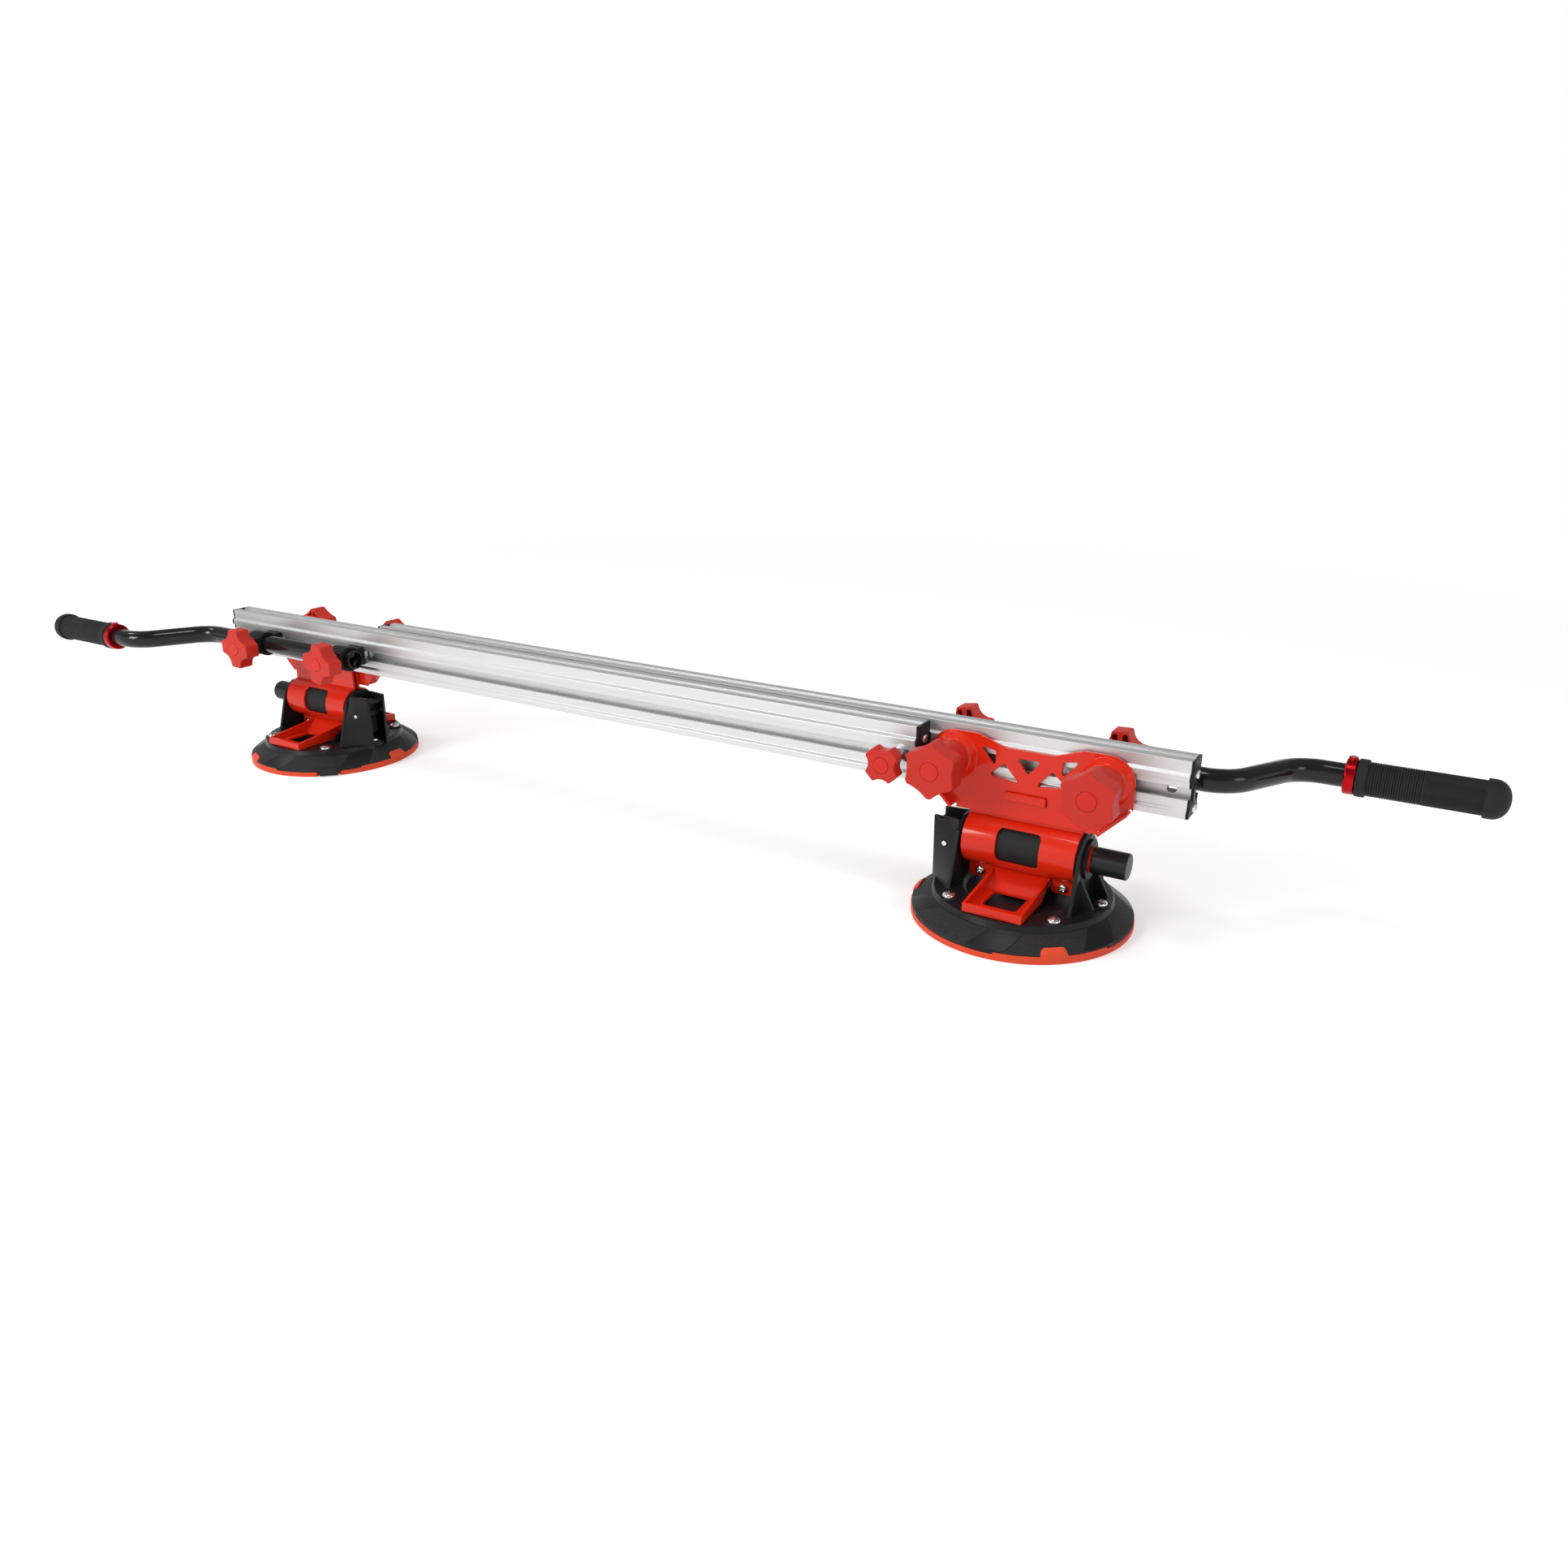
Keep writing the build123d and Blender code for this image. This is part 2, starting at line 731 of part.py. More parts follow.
def cup_pad():
    inner = cup_radius - pad_lip_width
    section = [
        (0, pad_height - pad_roof),
        (inner - pad_roof, pad_height - pad_roof),
        (inner, 0),
        (cup_radius, 0),
        (cup_radius, pad_height - pad_lip_bevel),
        (cup_radius - pad_lip_bevel, pad_height),
        (0, pad_height),
    ]
    pad = ring_of(section)
    notch_half = lug_width / 2 + lug_room
    notch = block(base_radius - lug_room, cup_radius, -notch_half, notch_half, 0, pad_height)
    pad -= Rot(0, 0, lug_angle) * notch
    step = base_skirt_foot() + pad_tab_gap
    crest = pad_height + pad_rise
    rise = [
        (step, pad_height - pad_lip_bevel),
        (cup_radius, pad_height - pad_lip_bevel),
        (cup_radius, crest - pad_lip_bevel),
        (cup_radius - pad_lip_bevel, crest),
        (step, crest),
    ]
    outer = pad_tab_gap + pad_tab_thickness
    flap = [
        (base_radius + pad_tab_gap, pad_height),
        (cup_radius, pad_height),
        on_skirt(outer, cup_radius),
        off_skirt(outer, pad_tab_length),
        off_skirt(pad_tab_gap, pad_tab_length),
        on_skirt(pad_tab_gap, base_radius + pad_tab_gap),
    ]
    for angle in pad_tab_angles:
        pad += sector_of(rise, angle, pad_rise_spread)
        tab = sector_of(flap, angle, pad_tab_spread)
        ends = tab.edges().filter_by(lambda edge: abs(edge.length - pad_tab_thickness) < pad_tab_gap)
        pad += fillet(ends.group_by(lambda edge: edge.center().Z)[-1], pad_tab_corner)
    return to_cup * pad


def upright_face():
    """Outline of both fins, drawn across the pump."""
    right = [
        (upright_foot_width / 2, upright_root),
        (upright_foot_width / 2, plateau_level),
        (upright_shoulder_width / 2, upright_shoulder_level),
        (upright_top_width / 2, upright_top),
    ]
    left = [(-y, z) for y, z in reversed(right)]
    return outline(right + left)


def channel_half(depth, level):
    """Half width of the lever channel at a distance from its fin and a height."""
    along = depth / channel_depth
    up = (level - plateau_level) / (channel_top - plateau_level)
    foot = upright_foot_width + (mouth_foot_width - upright_foot_width) * along
    top = channel_top_width + (mouth_top_width - channel_top_width) * along
    return (foot + (top - foot) * up) / 2


def channel_section(depth, inset):
    low = channel_half(depth, upright_root) - inset
    high = channel_half(depth, channel_top) - inset
    face = outline([(-low, upright_root), (low, upright_root), (high, channel_top), (-high, channel_top)])
    return Plane.YZ.offset(-upright_out - depth) * face


def channel_loft(inset):
    return loft([channel_section(0, inset), channel_section(channel_depth, inset)], ruled=True)


def base_screw_places():
    turns = [radians(angle) for angle in base_screw_angles]
    return [(base_screw_circle * cos(turn), base_screw_circle * sin(turn)) for turn in turns]


def cup_base():
    section = [
        (0, plateau_level - recess_depth),
        (recess_radius - recess_depth, plateau_level - recess_depth),
        (recess_radius, plateau_level),
        (plateau_radius, plateau_level),
        (shoulder_radius, shoulder_level),
        (base_radius, rim_top),
        (base_radius, base_bottom),
        (base_skirt_foot(), base_bottom),
        (plateau_radius - base_rim, base_underside),
        (0, base_underside),
    ]
    base = ring_of(section)
    room = [
        (base_skirt_foot() - base_rim, base_bottom),
        (base_radius, base_bottom),
        (base_radius, base_bottom + pad_rise),
        (base_skirt_foot() - base_rim, base_bottom + pad_rise),
    ]
    for angle in pad_tab_angles:
        base -= sector_of(room, angle, pad_rise_spread)
    lug = block(
        base_radius - base_wall, cup_radius + lug_proud, -lug_width / 2, lug_width / 2,
        base_bottom - lug_drop, rim_top,
    )
    lug -= block(0, base_radius, -lug_width, lug_width, 0, base_bottom)
    base += Rot(0, 0, lug_angle) * lug
    for start in (-upright_out, upright_in):
        base += across_x(upright_face(), start, start + upright_wall)
    for side in (-rib_pitch / 2, rib_pitch / 2):
        web = outline([
            (upright_out, upright_root),
            (upright_out + rib_reach, upright_root),
            (upright_out + rib_reach, plateau_level + rib_thickness),
            (upright_out, rib_top),
        ])
        base += across_y(web, side - rib_thickness / 2, side + rib_thickness / 2)
    base += channel_loft(0) - channel_loft(upright_wall)
    base -= rod_x(barrel_radius + barrel_fit, -upright_out, upright_out, 0, pump_level)
    base -= rod_y(pin_hole, -upright_foot_width / 2, upright_foot_width / 2, lever_x, lever_pivot_level)
    hole_end = base_seat - base_screw_length - base_screw_end_room
    for x, y in base_screw_places():
        base += rod_z(base_boss_radius, shoulder_level, base_seat, x, y)
        base -= rod_z(base_screw_radius + base_screw_fit, hole_end, base_seat, x, y)
    return to_cup * base


def base_screws():
    screws = []
    for x, y in base_screw_places():
        head = rod_z(base_screw_head, base_seat, base_seat + base_screw_head_height, x, y)
        screws.append(head + rod_z(base_screw_radius, base_seat - base_screw_length, base_seat, x, y))
    return to_cup * Compound(screws)


# Pump: barrel in the uprights, rubber sleeve, sprung plunger and release lever
def pump_barrel():
    tube = rod_x(barrel_radius, -upright_out, barrel_end, 0, pump_level)
    tube += rod_x(barrel_collar_radius, upright_out, barrel_end, 0, pump_level)
    return to_cup * (tube - rod_x(plunger_radius + plunger_fit, barrel_floor, barrel_end, 0, pump_level))


def barrel_sleeve():
    end = upright_in - sleeve_end_gap
    sleeve = rod_x(sleeve_radius, -end, end, 0, pump_level)
    return to_cup * (sleeve - rod_x(barrel_radius + barrel_fit, -end, end, 0, pump_level))


def plunger():
    bar = rod_x(plunger_radius, plunger_root, plunger_tip, 0, pump_level)
    bar = fillet(bar.faces().sort_by(Axis.X)[-1].edges(), plunger_edge)
    hollow_start = plunger_root + plunger_end
    bar -= rod_x(plunger_radius - plunger_wall, hollow_start, plunger_tip - plunger_end, 0, pump_level)
    band_end = barrel_end + plunger_band_width
    band = rod_x(plunger_radius, barrel_end, band_end, 0, pump_level)
    band -= rod_x(plunger_radius - plunger_band_depth, barrel_end, band_end, 0, pump_level)
    return to_cup * (bar - band)


def plunger_spring():
    coil = rod_x(spring_radius, barrel_floor, plunger_root, 0, pump_level)
    return to_cup * (coil - rod_x(spring_radius - spring_wire, barrel_floor, plunger_root, 0, pump_level))


def release_lever():
    arm = lever_arm / 2
    face = outline([
        (lever_x - arm, lever_foot),
        (lever_x + arm, lever_foot),
        (lever_x + arm, lever_top),
        (lever_x - lever_thumb, lever_top),
        (lever_x - lever_thumb, lever_top - arm),
        (lever_x - arm, lever_top - lever_arm),
    ])
    face += Pos(lever_x, lever_pivot_level) * Circle(lever_boss)
    lever = across_y(face, -lever_width / 2, lever_width / 2)
    return to_cup * (lever - rod_y(pin_hole, -lever_width, lever_width, lever_x, lever_pivot_level))


def lever_pin():
    half = channel_half(lever_pivot_inset, lever_pivot_level) + lever_pin_proud
    return to_cup * rod_y(lever_pin_radius, -half, half, lever_x, lever_pivot_level)


# Handle: bent tube, two saddles on the rail, grip with lock ring and end cap
def handle_tube():
    first = rail_reach + bend_radius * tan(radians(bend_angle / 2))
    second = first + grip_side / tan(radians(bend_angle))
    path = FilletPolyline(
        (rail_reach - tube_inset, tube_y, slot_z),
        (first, tube_y, slot_z),
        (second, grip_y, slot_z),
        (grip_end, grip_y, slot_z),
        radius=bend_radius,
    )
    start = Plane(origin=path @ 0, z_dir=path % 0)
    tube = sweep(start * (Circle(tube_radius) - Circle(tube_radius - tube_wall)), path)
    for x in handle_bolts_x:
        tube -= rod_y(bolt_hole, tube_y - tube_radius, tube_y + tube_radius, x, slot_z)
    return tube


def handle_saddles():
    seat = rail_outer_face + slide_gap
    blocks = []
    for x in handle_bolts_x:
        face = Pos(tube_y, slot_z) * Circle(saddle_radius)
        face += Pos(seat, slot_z) * Rectangle(
            tube_y - seat, saddle_block_height, align=(Align.MIN, Align.CENTER)
        )
        face += Pos(tube_y, slot_z) * Rectangle(
            saddle_nose_face - tube_y, saddle_nose_height, align=(Align.MIN, Align.CENTER)
        )
        face -= Pos(tube_y, slot_z) * Circle(tube_radius + saddle_clearance)
        saddle = across_x(face, x - saddle_width / 2, x + saddle_width / 2)
        blocks.append(saddle - rod_y(bolt_hole, seat, saddle_nose_face, x, slot_z))
    return Compound(blocks)


def handle_bolts():
    tip = saddle_nose_face + handle_knob_hub + handle_knob_depth - knob_top - bolt_end_room
    return Compound([t_bolt(x, outer_lip, 1, tip) for x in handle_bolts_x])


def handle_knob(x, turn):
    shape = knob(
        small_knob_lobes, handle_knob_reach, handle_knob_flat, handle_knob_scoop, handle_knob_depth,
        small_hub_radius, handle_knob_hub, small_cap_radius,
    )
    return Pos(x, saddle_nose_face, slot_z) * Rot(-90, 0, 0) * Rot(0, 0, turn) * shape


def grip_lock_ring():
    section = [
        (grip_bore, ring_start),
        (ring_radius - ring_edge, ring_start),
        (ring_radius, ring_start + ring_edge),
        (ring_radius, grip_start - ring_edge),
        (ring_radius - ring_edge, grip_start),
        (grip_bore, grip_start),
    ]
    ring = to_grip * ring_of(section)
    middle = ring_start + ring_width / 2
    boss = rod_z(ring_boss_radius, slot_z, slot_z + ring_radius + ring_boss_height, middle, grip_y)
    return ring + (boss - rod_x(grip_bore, ring_start, grip_start, grip_y, slot_z))


def handle_grip():
    flange_end = grip_start + grip_flange_width
    section = [
        (grip_bore, grip_start),
        (grip_flange_radius, grip_start),
        (grip_flange_radius, flange_end - grip_flange_edge),
        (grip_radius, flange_end),
    ]
    section.append((grip_radius, grip_end))
    section.append((grip_bore, grip_end))
    return to_grip * ring_of(section)


def grip_end_cap():
    plug = tube_radius - tube_wall - grip_clearance
    profile = Polyline(
        (0, grip_end - cap_plug_length),
        (plug, grip_end - cap_plug_length),
        (plug, grip_end),
        (cap_radius, grip_end),
        (cap_radius, grip_end + cap_skirt),
    )
    ball = (cap_radius**2 + cap_dome**2) / (2 * cap_dome)
    spread = atan2(cap_radius, ball - cap_dome)
    top = grip_end + cap_skirt + cap_dome
    middle = (ball * sin(spread / 2), top - ball + ball * cos(spread / 2))
    dome = ThreePointArc(profile @ 1, middle, (0, top))
    face = make_face(profile + dome + Line(dome @ 1, profile @ 0))
    return to_grip * revolve(Plane.XZ * face, Axis.Z)


# Both halves: the right one as drawn, the left one turned half round
half = {
    "rail": rail(),
    "rail_end_plates": rail_end_plates(),
    "end_plate_screws": end_plate_screws(),
    "lock_bolt": lock_bolt(),
    "lock_sleeve": lock_sleeve(),
    "lock_knob": lock_knob(),
    "bracket_plate": bracket_plate(),
    "bracket_bolts": bracket_bolts(),
    "bracket_knob_inner": bracket_knob(knob_places[0]),
    "bracket_knob_outer": bracket_knob(knob_places[1]),
    "clamp_front": clamp_front(),
    "clamp_rear": clamp_rear(),
    "clamp_screws": clamp_screws(),
    "cup_pad": cup_pad(),
    "cup_base": cup_base(),
    "base_screws": base_screws(),
    "pump_barrel": pump_barrel(),
    "barrel_sleeve": barrel_sleeve(),
    "plunger": plunger(),
    "plunger_spring": plunger_spring(),
    "release_lever": release_lever(),
    "lever_pin": lever_pin(),
    "handle_tube": handle_tube(),
    "handle_saddles": handle_saddles(),
    "handle_bolts": handle_bolts(),
    "handle_knob_inner": handle_knob(handle_bolts_x[0], handle_knob_turns[0]),
    "handle_knob_outer": handle_knob(handle_bolts_x[1], handle_knob_turns[1]),
    "handle_grip": handle_grip(),
    "grip_lock_ring": grip_lock_ring(),
    "grip_end_cap": grip_end_cap(),
}

for side, turn in (("right", 0), ("left", 180)):
    for name, shape in half.items():
        export_step(Rot(0, 0, turn) * shape, f"parts/{side}_{name}.step")
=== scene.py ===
from math import cos, exp, hypot, pi, radians, sin

import bmesh
import bpy
from mathutils import Matrix, Vector


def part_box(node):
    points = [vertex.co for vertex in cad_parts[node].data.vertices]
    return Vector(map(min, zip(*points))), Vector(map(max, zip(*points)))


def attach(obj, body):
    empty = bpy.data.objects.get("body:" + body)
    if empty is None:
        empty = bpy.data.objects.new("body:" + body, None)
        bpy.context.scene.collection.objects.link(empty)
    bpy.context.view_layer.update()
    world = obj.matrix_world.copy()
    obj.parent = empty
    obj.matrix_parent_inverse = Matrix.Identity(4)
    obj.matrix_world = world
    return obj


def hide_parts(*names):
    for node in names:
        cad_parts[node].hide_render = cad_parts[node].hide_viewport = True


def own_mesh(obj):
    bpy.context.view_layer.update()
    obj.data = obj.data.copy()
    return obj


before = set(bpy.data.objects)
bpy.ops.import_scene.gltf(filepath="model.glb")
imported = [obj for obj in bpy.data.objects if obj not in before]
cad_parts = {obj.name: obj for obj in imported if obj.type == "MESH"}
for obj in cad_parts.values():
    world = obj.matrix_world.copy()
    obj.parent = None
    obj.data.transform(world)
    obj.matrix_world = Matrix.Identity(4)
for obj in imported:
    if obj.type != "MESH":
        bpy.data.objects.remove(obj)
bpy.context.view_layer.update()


# Rails: two long extrusions that slide along each other to set the length of the frame.
# They are aluminium pressed through a die, which leaves faint lines along them, then satin anodised.
# Each long edge keeps the small radius of the die.
rail_edge = 0.0004
edge_steps = 2
rail_light = (0.70, 0.70, 0.698, 1)
rail_dark = (0.60, 0.602, 0.605, 1)
weld = 1e-6
flat_angle = radians(1)
hard_angle = radians(28)
sharp_angle = radians(50)
halves = (("right", 0), ("left", pi))


def add(tree, kind, sockets=(), **settings):
    """One shader node. A socket takes a number, a colour or the output of another node."""
    made = tree.nodes.new("ShaderNode" + kind)
    for name, value in settings.items():
        setattr(made, name, value)
    for name, value in dict(sockets).items():
        if isinstance(value, bpy.types.NodeSocket):
            tree.links.new(value, made.inputs[name])
        else:
            made.inputs[name].default_value = value
    return made


def effect(name, inputs, outputs):
    """An empty node group with named number inputs and outputs."""
    tree = bpy.data.node_groups.new(name, "ShaderNodeTree")
    for label, value in inputs.items():
        socket = tree.interface.new_socket(label, in_out="INPUT", socket_type="NodeSocketFloat")
        socket.default_value = value
    for label in outputs:
        tree.interface.new_socket(label, in_out="OUTPUT", socket_type="NodeSocketFloat")
    return tree, tree.nodes.new("NodeGroupInput"), tree.nodes.new("NodeGroupOutput")


def use(tree, group, **values):
    """One of the effects, placed in a material with its own values."""
    made = tree.nodes.new("ShaderNodeGroup")
    made.node_tree = group
    for label, value in values.items():
        made.inputs[label.capitalize()].default_value = value
    return made


def finish(name, **constants):
    """A new material with its shader's plain values set."""
    material = bpy.data.materials.new(name)
    material.use_nodes = True
    shader = material.node_tree.nodes["Principled BSDF"]
    for label, value in constants.items():
        shader.inputs[label.replace("_", " ").title().replace("Ior", "IOR")].default_value = value
    return material, material.node_tree, shader


def between(tree, shader, socket, mask, low, high):
    """A shader value that runs from low to high with a mask."""
    span = add(tree, "MapRange", {"Value": mask, "To Min": low, "To Max": high})
    tree.links.new(span.outputs["Result"], shader.inputs[socket])


def colours(tree, shader, mask, low, high):
    """A base colour that runs from one to another with a mask."""
    mix = add(tree, "Mix", {0: mask, 6: low, 7: high}, data_type="RGBA")
    tree.links.new(mix.outputs[2], shader.inputs["Base Color"])


def relief(tree, shader, height, depth):
    """Fine relief of a given depth in metres, as a normal."""
    bump = add(tree, "Bump", {"Height": height, "Distance": depth, "Strength": 1.0})
    tree.links.new(bump.outputs["Normal"], shader.inputs["Normal"])


def anywhere(middle):
    return True


def islands(work):
    """The separate solids of a mesh, each as a list of its points."""
    seen = set()
    found = []
    for start in work.verts:
        if start not in seen:
            seen.add(start)
            group = [start]
            for vert in group:
                for link in vert.link_edges:
                    other = link.other_vert(vert)
                    if other not in seen:
                        seen.add(other)
                        group.append(other)
            found.append(group)
    return found


def corners(points):
    """Lowest and highest corner of some points."""
    places = [point.co for point in points]
    low = Vector([min(place[axis] for place in places) for axis in range(3)])
    high = Vector([max(place[axis] for place in places) for axis in range(3)])
    return low, high


def plain(node):
    """The solids of a piece of the right half, welded and with their flat faces whole."""
    work = bmesh.new()
    work.from_mesh(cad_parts["right_" + node].data)
    bmesh.ops.remove_doubles(work, verts=work.verts, dist=weld)
    bmesh.ops.dissolve_limit(work, angle_limit=flat_angle, verts=work.verts, edges=work.edges)
    return work


def eased(node, *rounds, at=(0, 0, 0), kept=None):
    """Mesh of a piece of the right half with its hard edges rounded, drawn round a point of its own.

    Each round is a width, a number of steps and a test on the middle of an edge. Kept is a test on
    the corners of a solid, for a piece of which only some solids are wanted.
    """
    work = plain(node)
    if kept:
        dropped = [vert for group in islands(work) if not kept(*corners(group)) for vert in group]
        bmesh.ops.delete(work, geom=dropped, context="VERTS")
    for width, steps, wanted in rounds:
        hard = []
        for edge in work.edges:
            if len(edge.link_faces) == 2 and edge.calc_face_angle() > hard_angle:
                if wanted((edge.verts[0].co + edge.verts[1].co) / 2):
                    hard.append(edge)
        bmesh.ops.bevel(
            work, geom=hard, offset=width, offset_type="OFFSET", segments=steps, profile=0.5,
            affect="EDGES", clamp_overlap=False,
        )
    bmesh.ops.translate(work, vec=-Vector(at), verts=work.verts)
    return as_mesh(node, work)


def as_mesh(name, work):
    mesh = bpy.data.meshes.new(name)
    work.to_mesh(mesh)
    work.free()
    mesh.shade_smooth()
    mesh.set_sharp_from_angle(angle=sharp_angle)
    return mesh


def show(node, mesh, material, body, at=(0, 0, 0)):
    """Both halves of a piece, each for its CAD node: the right in place, the left turned half round."""
    mesh.materials.clear()
    mesh.materials.append(material)
    pieces = []
    for side, turn in halves:
        piece = bpy.data.objects.new(f"{side}_{node}_shown", mesh)
        bpy.context.scene.collection.objects.link(piece)
        piece.matrix_world = Matrix.Rotation(turn, 4, "Z") @ Matrix.Translation(at)
        piece.modifiers.new("even_faces", "WEIGHTED_NORMAL").keep_sharp = True
        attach(piece, f"{side}_{body}")
        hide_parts(f"{side}_{node}")
        pieces.append(piece)
    return pieces


line_inputs = {"Along": 2.0, "Across": 900.0}
drawn_lines, lines_in, lines_out = effect("drawn_lines", line_inputs, ["Lines", "Cloud"])
place = add(drawn_lines, "TexCoord").outputs["Object"]
spread = add(drawn_lines, "CombineXYZ", {
    "X": lines_in.outputs["Along"], "Y": lines_in.outputs["Across"], "Z": lines_in.outputs["Across"],
})
stretched = add(drawn_lines, "VectorMath", {0: place, 1: spread.outputs["Vector"]}, operation="MULTIPLY")
streaks = add(drawn_lines, "TexNoise", {"Vector": stretched.outputs["Vector"], "Scale": 1.0, "Detail": 4.0})
cloud = add(drawn_lines, "TexNoise", {"Vector": place, "Scale": 14.0, "Detail": 2.0})
drawn_lines.links.new(streaks.outputs["Fac"], lines_out.inputs["Lines"])
drawn_lines.links.new(cloud.outputs["Fac"], lines_out.inputs["Cloud"])

anodised, tree, shader = finish("satin_anodised_aluminium", metallic=1.0)
lines = use(tree, drawn_lines, along=1.5, across=1400.0)
colours(tree, shader, lines.outputs["Lines"], rail_dark, rail_light)
between(tree, shader, "Roughness", lines.outputs["Lines"], low=0.40, high=0.52)
relief(tree, shader, lines.outputs["Lines"], depth=0.00002)
show("rail", eased("rail", (rail_edge, edge_steps, anywhere)), anodised, "frame")


# End plates: thin black mouldings that close the rails, each held by two pan head screws.
# The plate follows the rail's own section, and the screws run into the rail's screw chambers.
# The screws are bright zinc plated, with a cross recess.
plate_edge = 0.0004
slot_centre = 0.022
slot_mouth = 0.011
slot_cavity = 0.018
slot_wall = 0.0095
slot_reach = 0.017
web_half = 0.0035
plate_screw_head = 0.004
plate_screw_height = 0.0026
plate_screw_shank = 0.002
pan_crown = 0.5
screw_steps = 40
crown_steps = 8
recess_width = 0.26
recess_length = 1.25
recess_depth = 0.42
recess_turn = pi / 5


def combined(mesh, tool, operation="DIFFERENCE"):
    """The mesh with the tool's shape taken out of it, or joined to it."""
    pair = [bpy.data.objects.new(name, data) for name, data in (("kept", mesh), ("tool", tool))]
    for item in pair:
        bpy.context.scene.collection.objects.link(item)
    change = pair[0].modifiers.new("change", "BOOLEAN")
    change.operation = operation
    change.solver = "EXACT"
    change.use_self = True
    change.object = pair[1]
    result = bpy.data.meshes.new_from_object(pair[0].evaluated_get(bpy.context.evaluated_depsgraph_get()))
    for item in pair:
        bpy.data.objects.remove(item)
    result.name = mesh.name
    work = bmesh.new()
    work.from_mesh(result)
    bmesh.ops.remove_doubles(work, verts=work.verts, dist=weld)
    bmesh.ops.dissolve_degenerate(work, edges=work.edges, dist=weld)
    work.to_mesh(result)
    work.free()
    result.shade_smooth()
    result.set_sharp_from_angle(angle=sharp_angle)
    return result


def round_solid(work, profile, steps, put):
    """Adds a solid of revolution: a run of radius and height that starts and ends on its axis."""
    rows = []
    for step in range(steps):
        turn = 2 * pi * step / steps
        rows.append([work.verts.new(put @ Vector((r * cos(turn), r * sin(turn), z))) for r, z in profile])
    for number, row in enumerate(rows):
        after = rows[(number + 1) % steps]
        for place in range(len(profile) - 1):
            work.faces.new((row[place], row[place + 1], after[place + 1], after[place]))
    bmesh.ops.remove_doubles(work, verts=work.verts, dist=weld)


def turned_screws(name, seats, radius, height, crown, shank, length):
    """Screws with a crowned head, a plain shank and a cross recess, each at a seat and facing one way."""
    profile = []
    for step in range(crown_steps + 1):
        turn = pi / 2 * step / crown_steps
        profile.append((radius * sin(turn), height * max(0.0, cos(turn)) ** crown))
    profile += [(shank, 0), (shank, -length), (0, -length)]
    screws = bmesh.new()
    tool = bmesh.new()
    for seat, way in seats:
        facing = Matrix.Translation(seat) @ Vector(way).to_track_quat("Z", "Y").to_matrix().to_4x4()
        round_solid(screws, profile, screw_steps, facing)
        for turn in (recess_turn, recess_turn + pi / 2):
            size = (recess_length * radius, recess_width * radius, 2 * recess_depth * radius, 1)
            lift = Matrix.Translation((0, 0, height))
            put = facing @ lift @ Matrix.Rotation(turn, 4, "Z") @ Matrix.Diagonal(size)
            bmesh.ops.create_cube(tool, size=1.0, matrix=put)
    bmesh.ops.recalc_face_normals(screws, faces=screws.faces)
    return combined(as_mesh(name, screws), as_mesh("recess", tool))


moulded_grain, grain_in, grain_out = effect("moulded_grain", {"Size": 0.0005}, ["Grain", "Cloud"])
place = add(moulded_grain, "TexCoord").outputs["Object"]
per_metre = add(moulded_grain, "Math", {0: 1.0, 1: grain_in.outputs["Size"]}, operation="DIVIDE")
speckle = add(moulded_grain, "TexNoise", {
    "Vector": place, "Scale": per_metre.outputs["Value"], "Detail": 3.0,
})
cloud = add(moulded_grain, "TexNoise", {"Vector": place, "Scale": 40.0, "Detail": 3.0})
moulded_grain.links.new(speckle.outputs["Fac"], grain_out.inputs["Grain"])
moulded_grain.links.new(cloud.outputs["Fac"], grain_out.inputs["Cloud"])


def moulded(name, low, high, smooth, rough, size, depth, **constants):
    """A finish with a fine grain: colour and roughness drift over it, and the grain stands in relief."""
    material, tree, shader = finish(name, **constants)
    grain = use(tree, moulded_grain, size=size)
    colours(tree, shader, grain.outputs["Cloud"], low, high)
    between(tree, shader, "Roughness", grain.outputs["Cloud"], smooth, rough)
    relief(tree, shader, grain.outputs["Grain"], depth)
    return material


black_plastic = moulded(
    "black_moulded_plastic", (0.009, 0.009, 0.010, 1), (0.016, 0.016, 0.017, 1),
    smooth=0.36, rough=0.48, size=0.0006, depth=0.00004, specular_ior_level=0.13,
)
zinc = moulded(
    "bright_zinc_plate", (0.66, 0.67, 0.69, 1), (0.80, 0.80, 0.79, 1),
    smooth=0.14, rough=0.26, size=0.0012, depth=0.00002, metallic=1.0,
)
rail_low, rail_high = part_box("right_rail")
rail_middle = (rail_low + rail_high) / 2
notches = bmesh.new()
for height, start, end in ((slot_mouth, web_half, slot_reach), (slot_cavity, web_half, slot_wall)):
    for side in (-1, 1):
        size = (2 * (rail_high.x - rail_low.x), end - start, height, 1)
        middle = Vector((rail_middle.x, rail_middle.y + side * (start + end) / 2, rail_low.z + slot_centre))
        bmesh.ops.create_cube(notches, size=1.0, matrix=Matrix.Translation(middle) @ Matrix.Diagonal(size))
plates = combined(eased("rail_end_plates", (plate_edge, edge_steps, anywhere)), as_mesh("notches", notches))
show("rail_end_plates", plates, black_plastic, "frame")
seats = []
work = plain("end_plate_screws")
for group in islands(work):
    low, high = corners(group)
    middle = (low + high) / 2
    if middle.x > rail_middle.x:
        seats.append((Vector((high.x - plate_screw_height, middle.y, middle.z)), (1, 0, 0)))
    else:
        seats.append((Vector((low.x + plate_screw_height, middle.y, middle.z)), (-1, 0, 0)))
    plate_screw_length = high.x - low.x - plate_screw_height
work.free()
screws = turned_screws(
    "end_plate_screws", seats, plate_screw_head, plate_screw_height, pan_crown, plate_screw_shank,
    plate_screw_length,
)
show("end_plate_screws", screws, zinc, "frame")


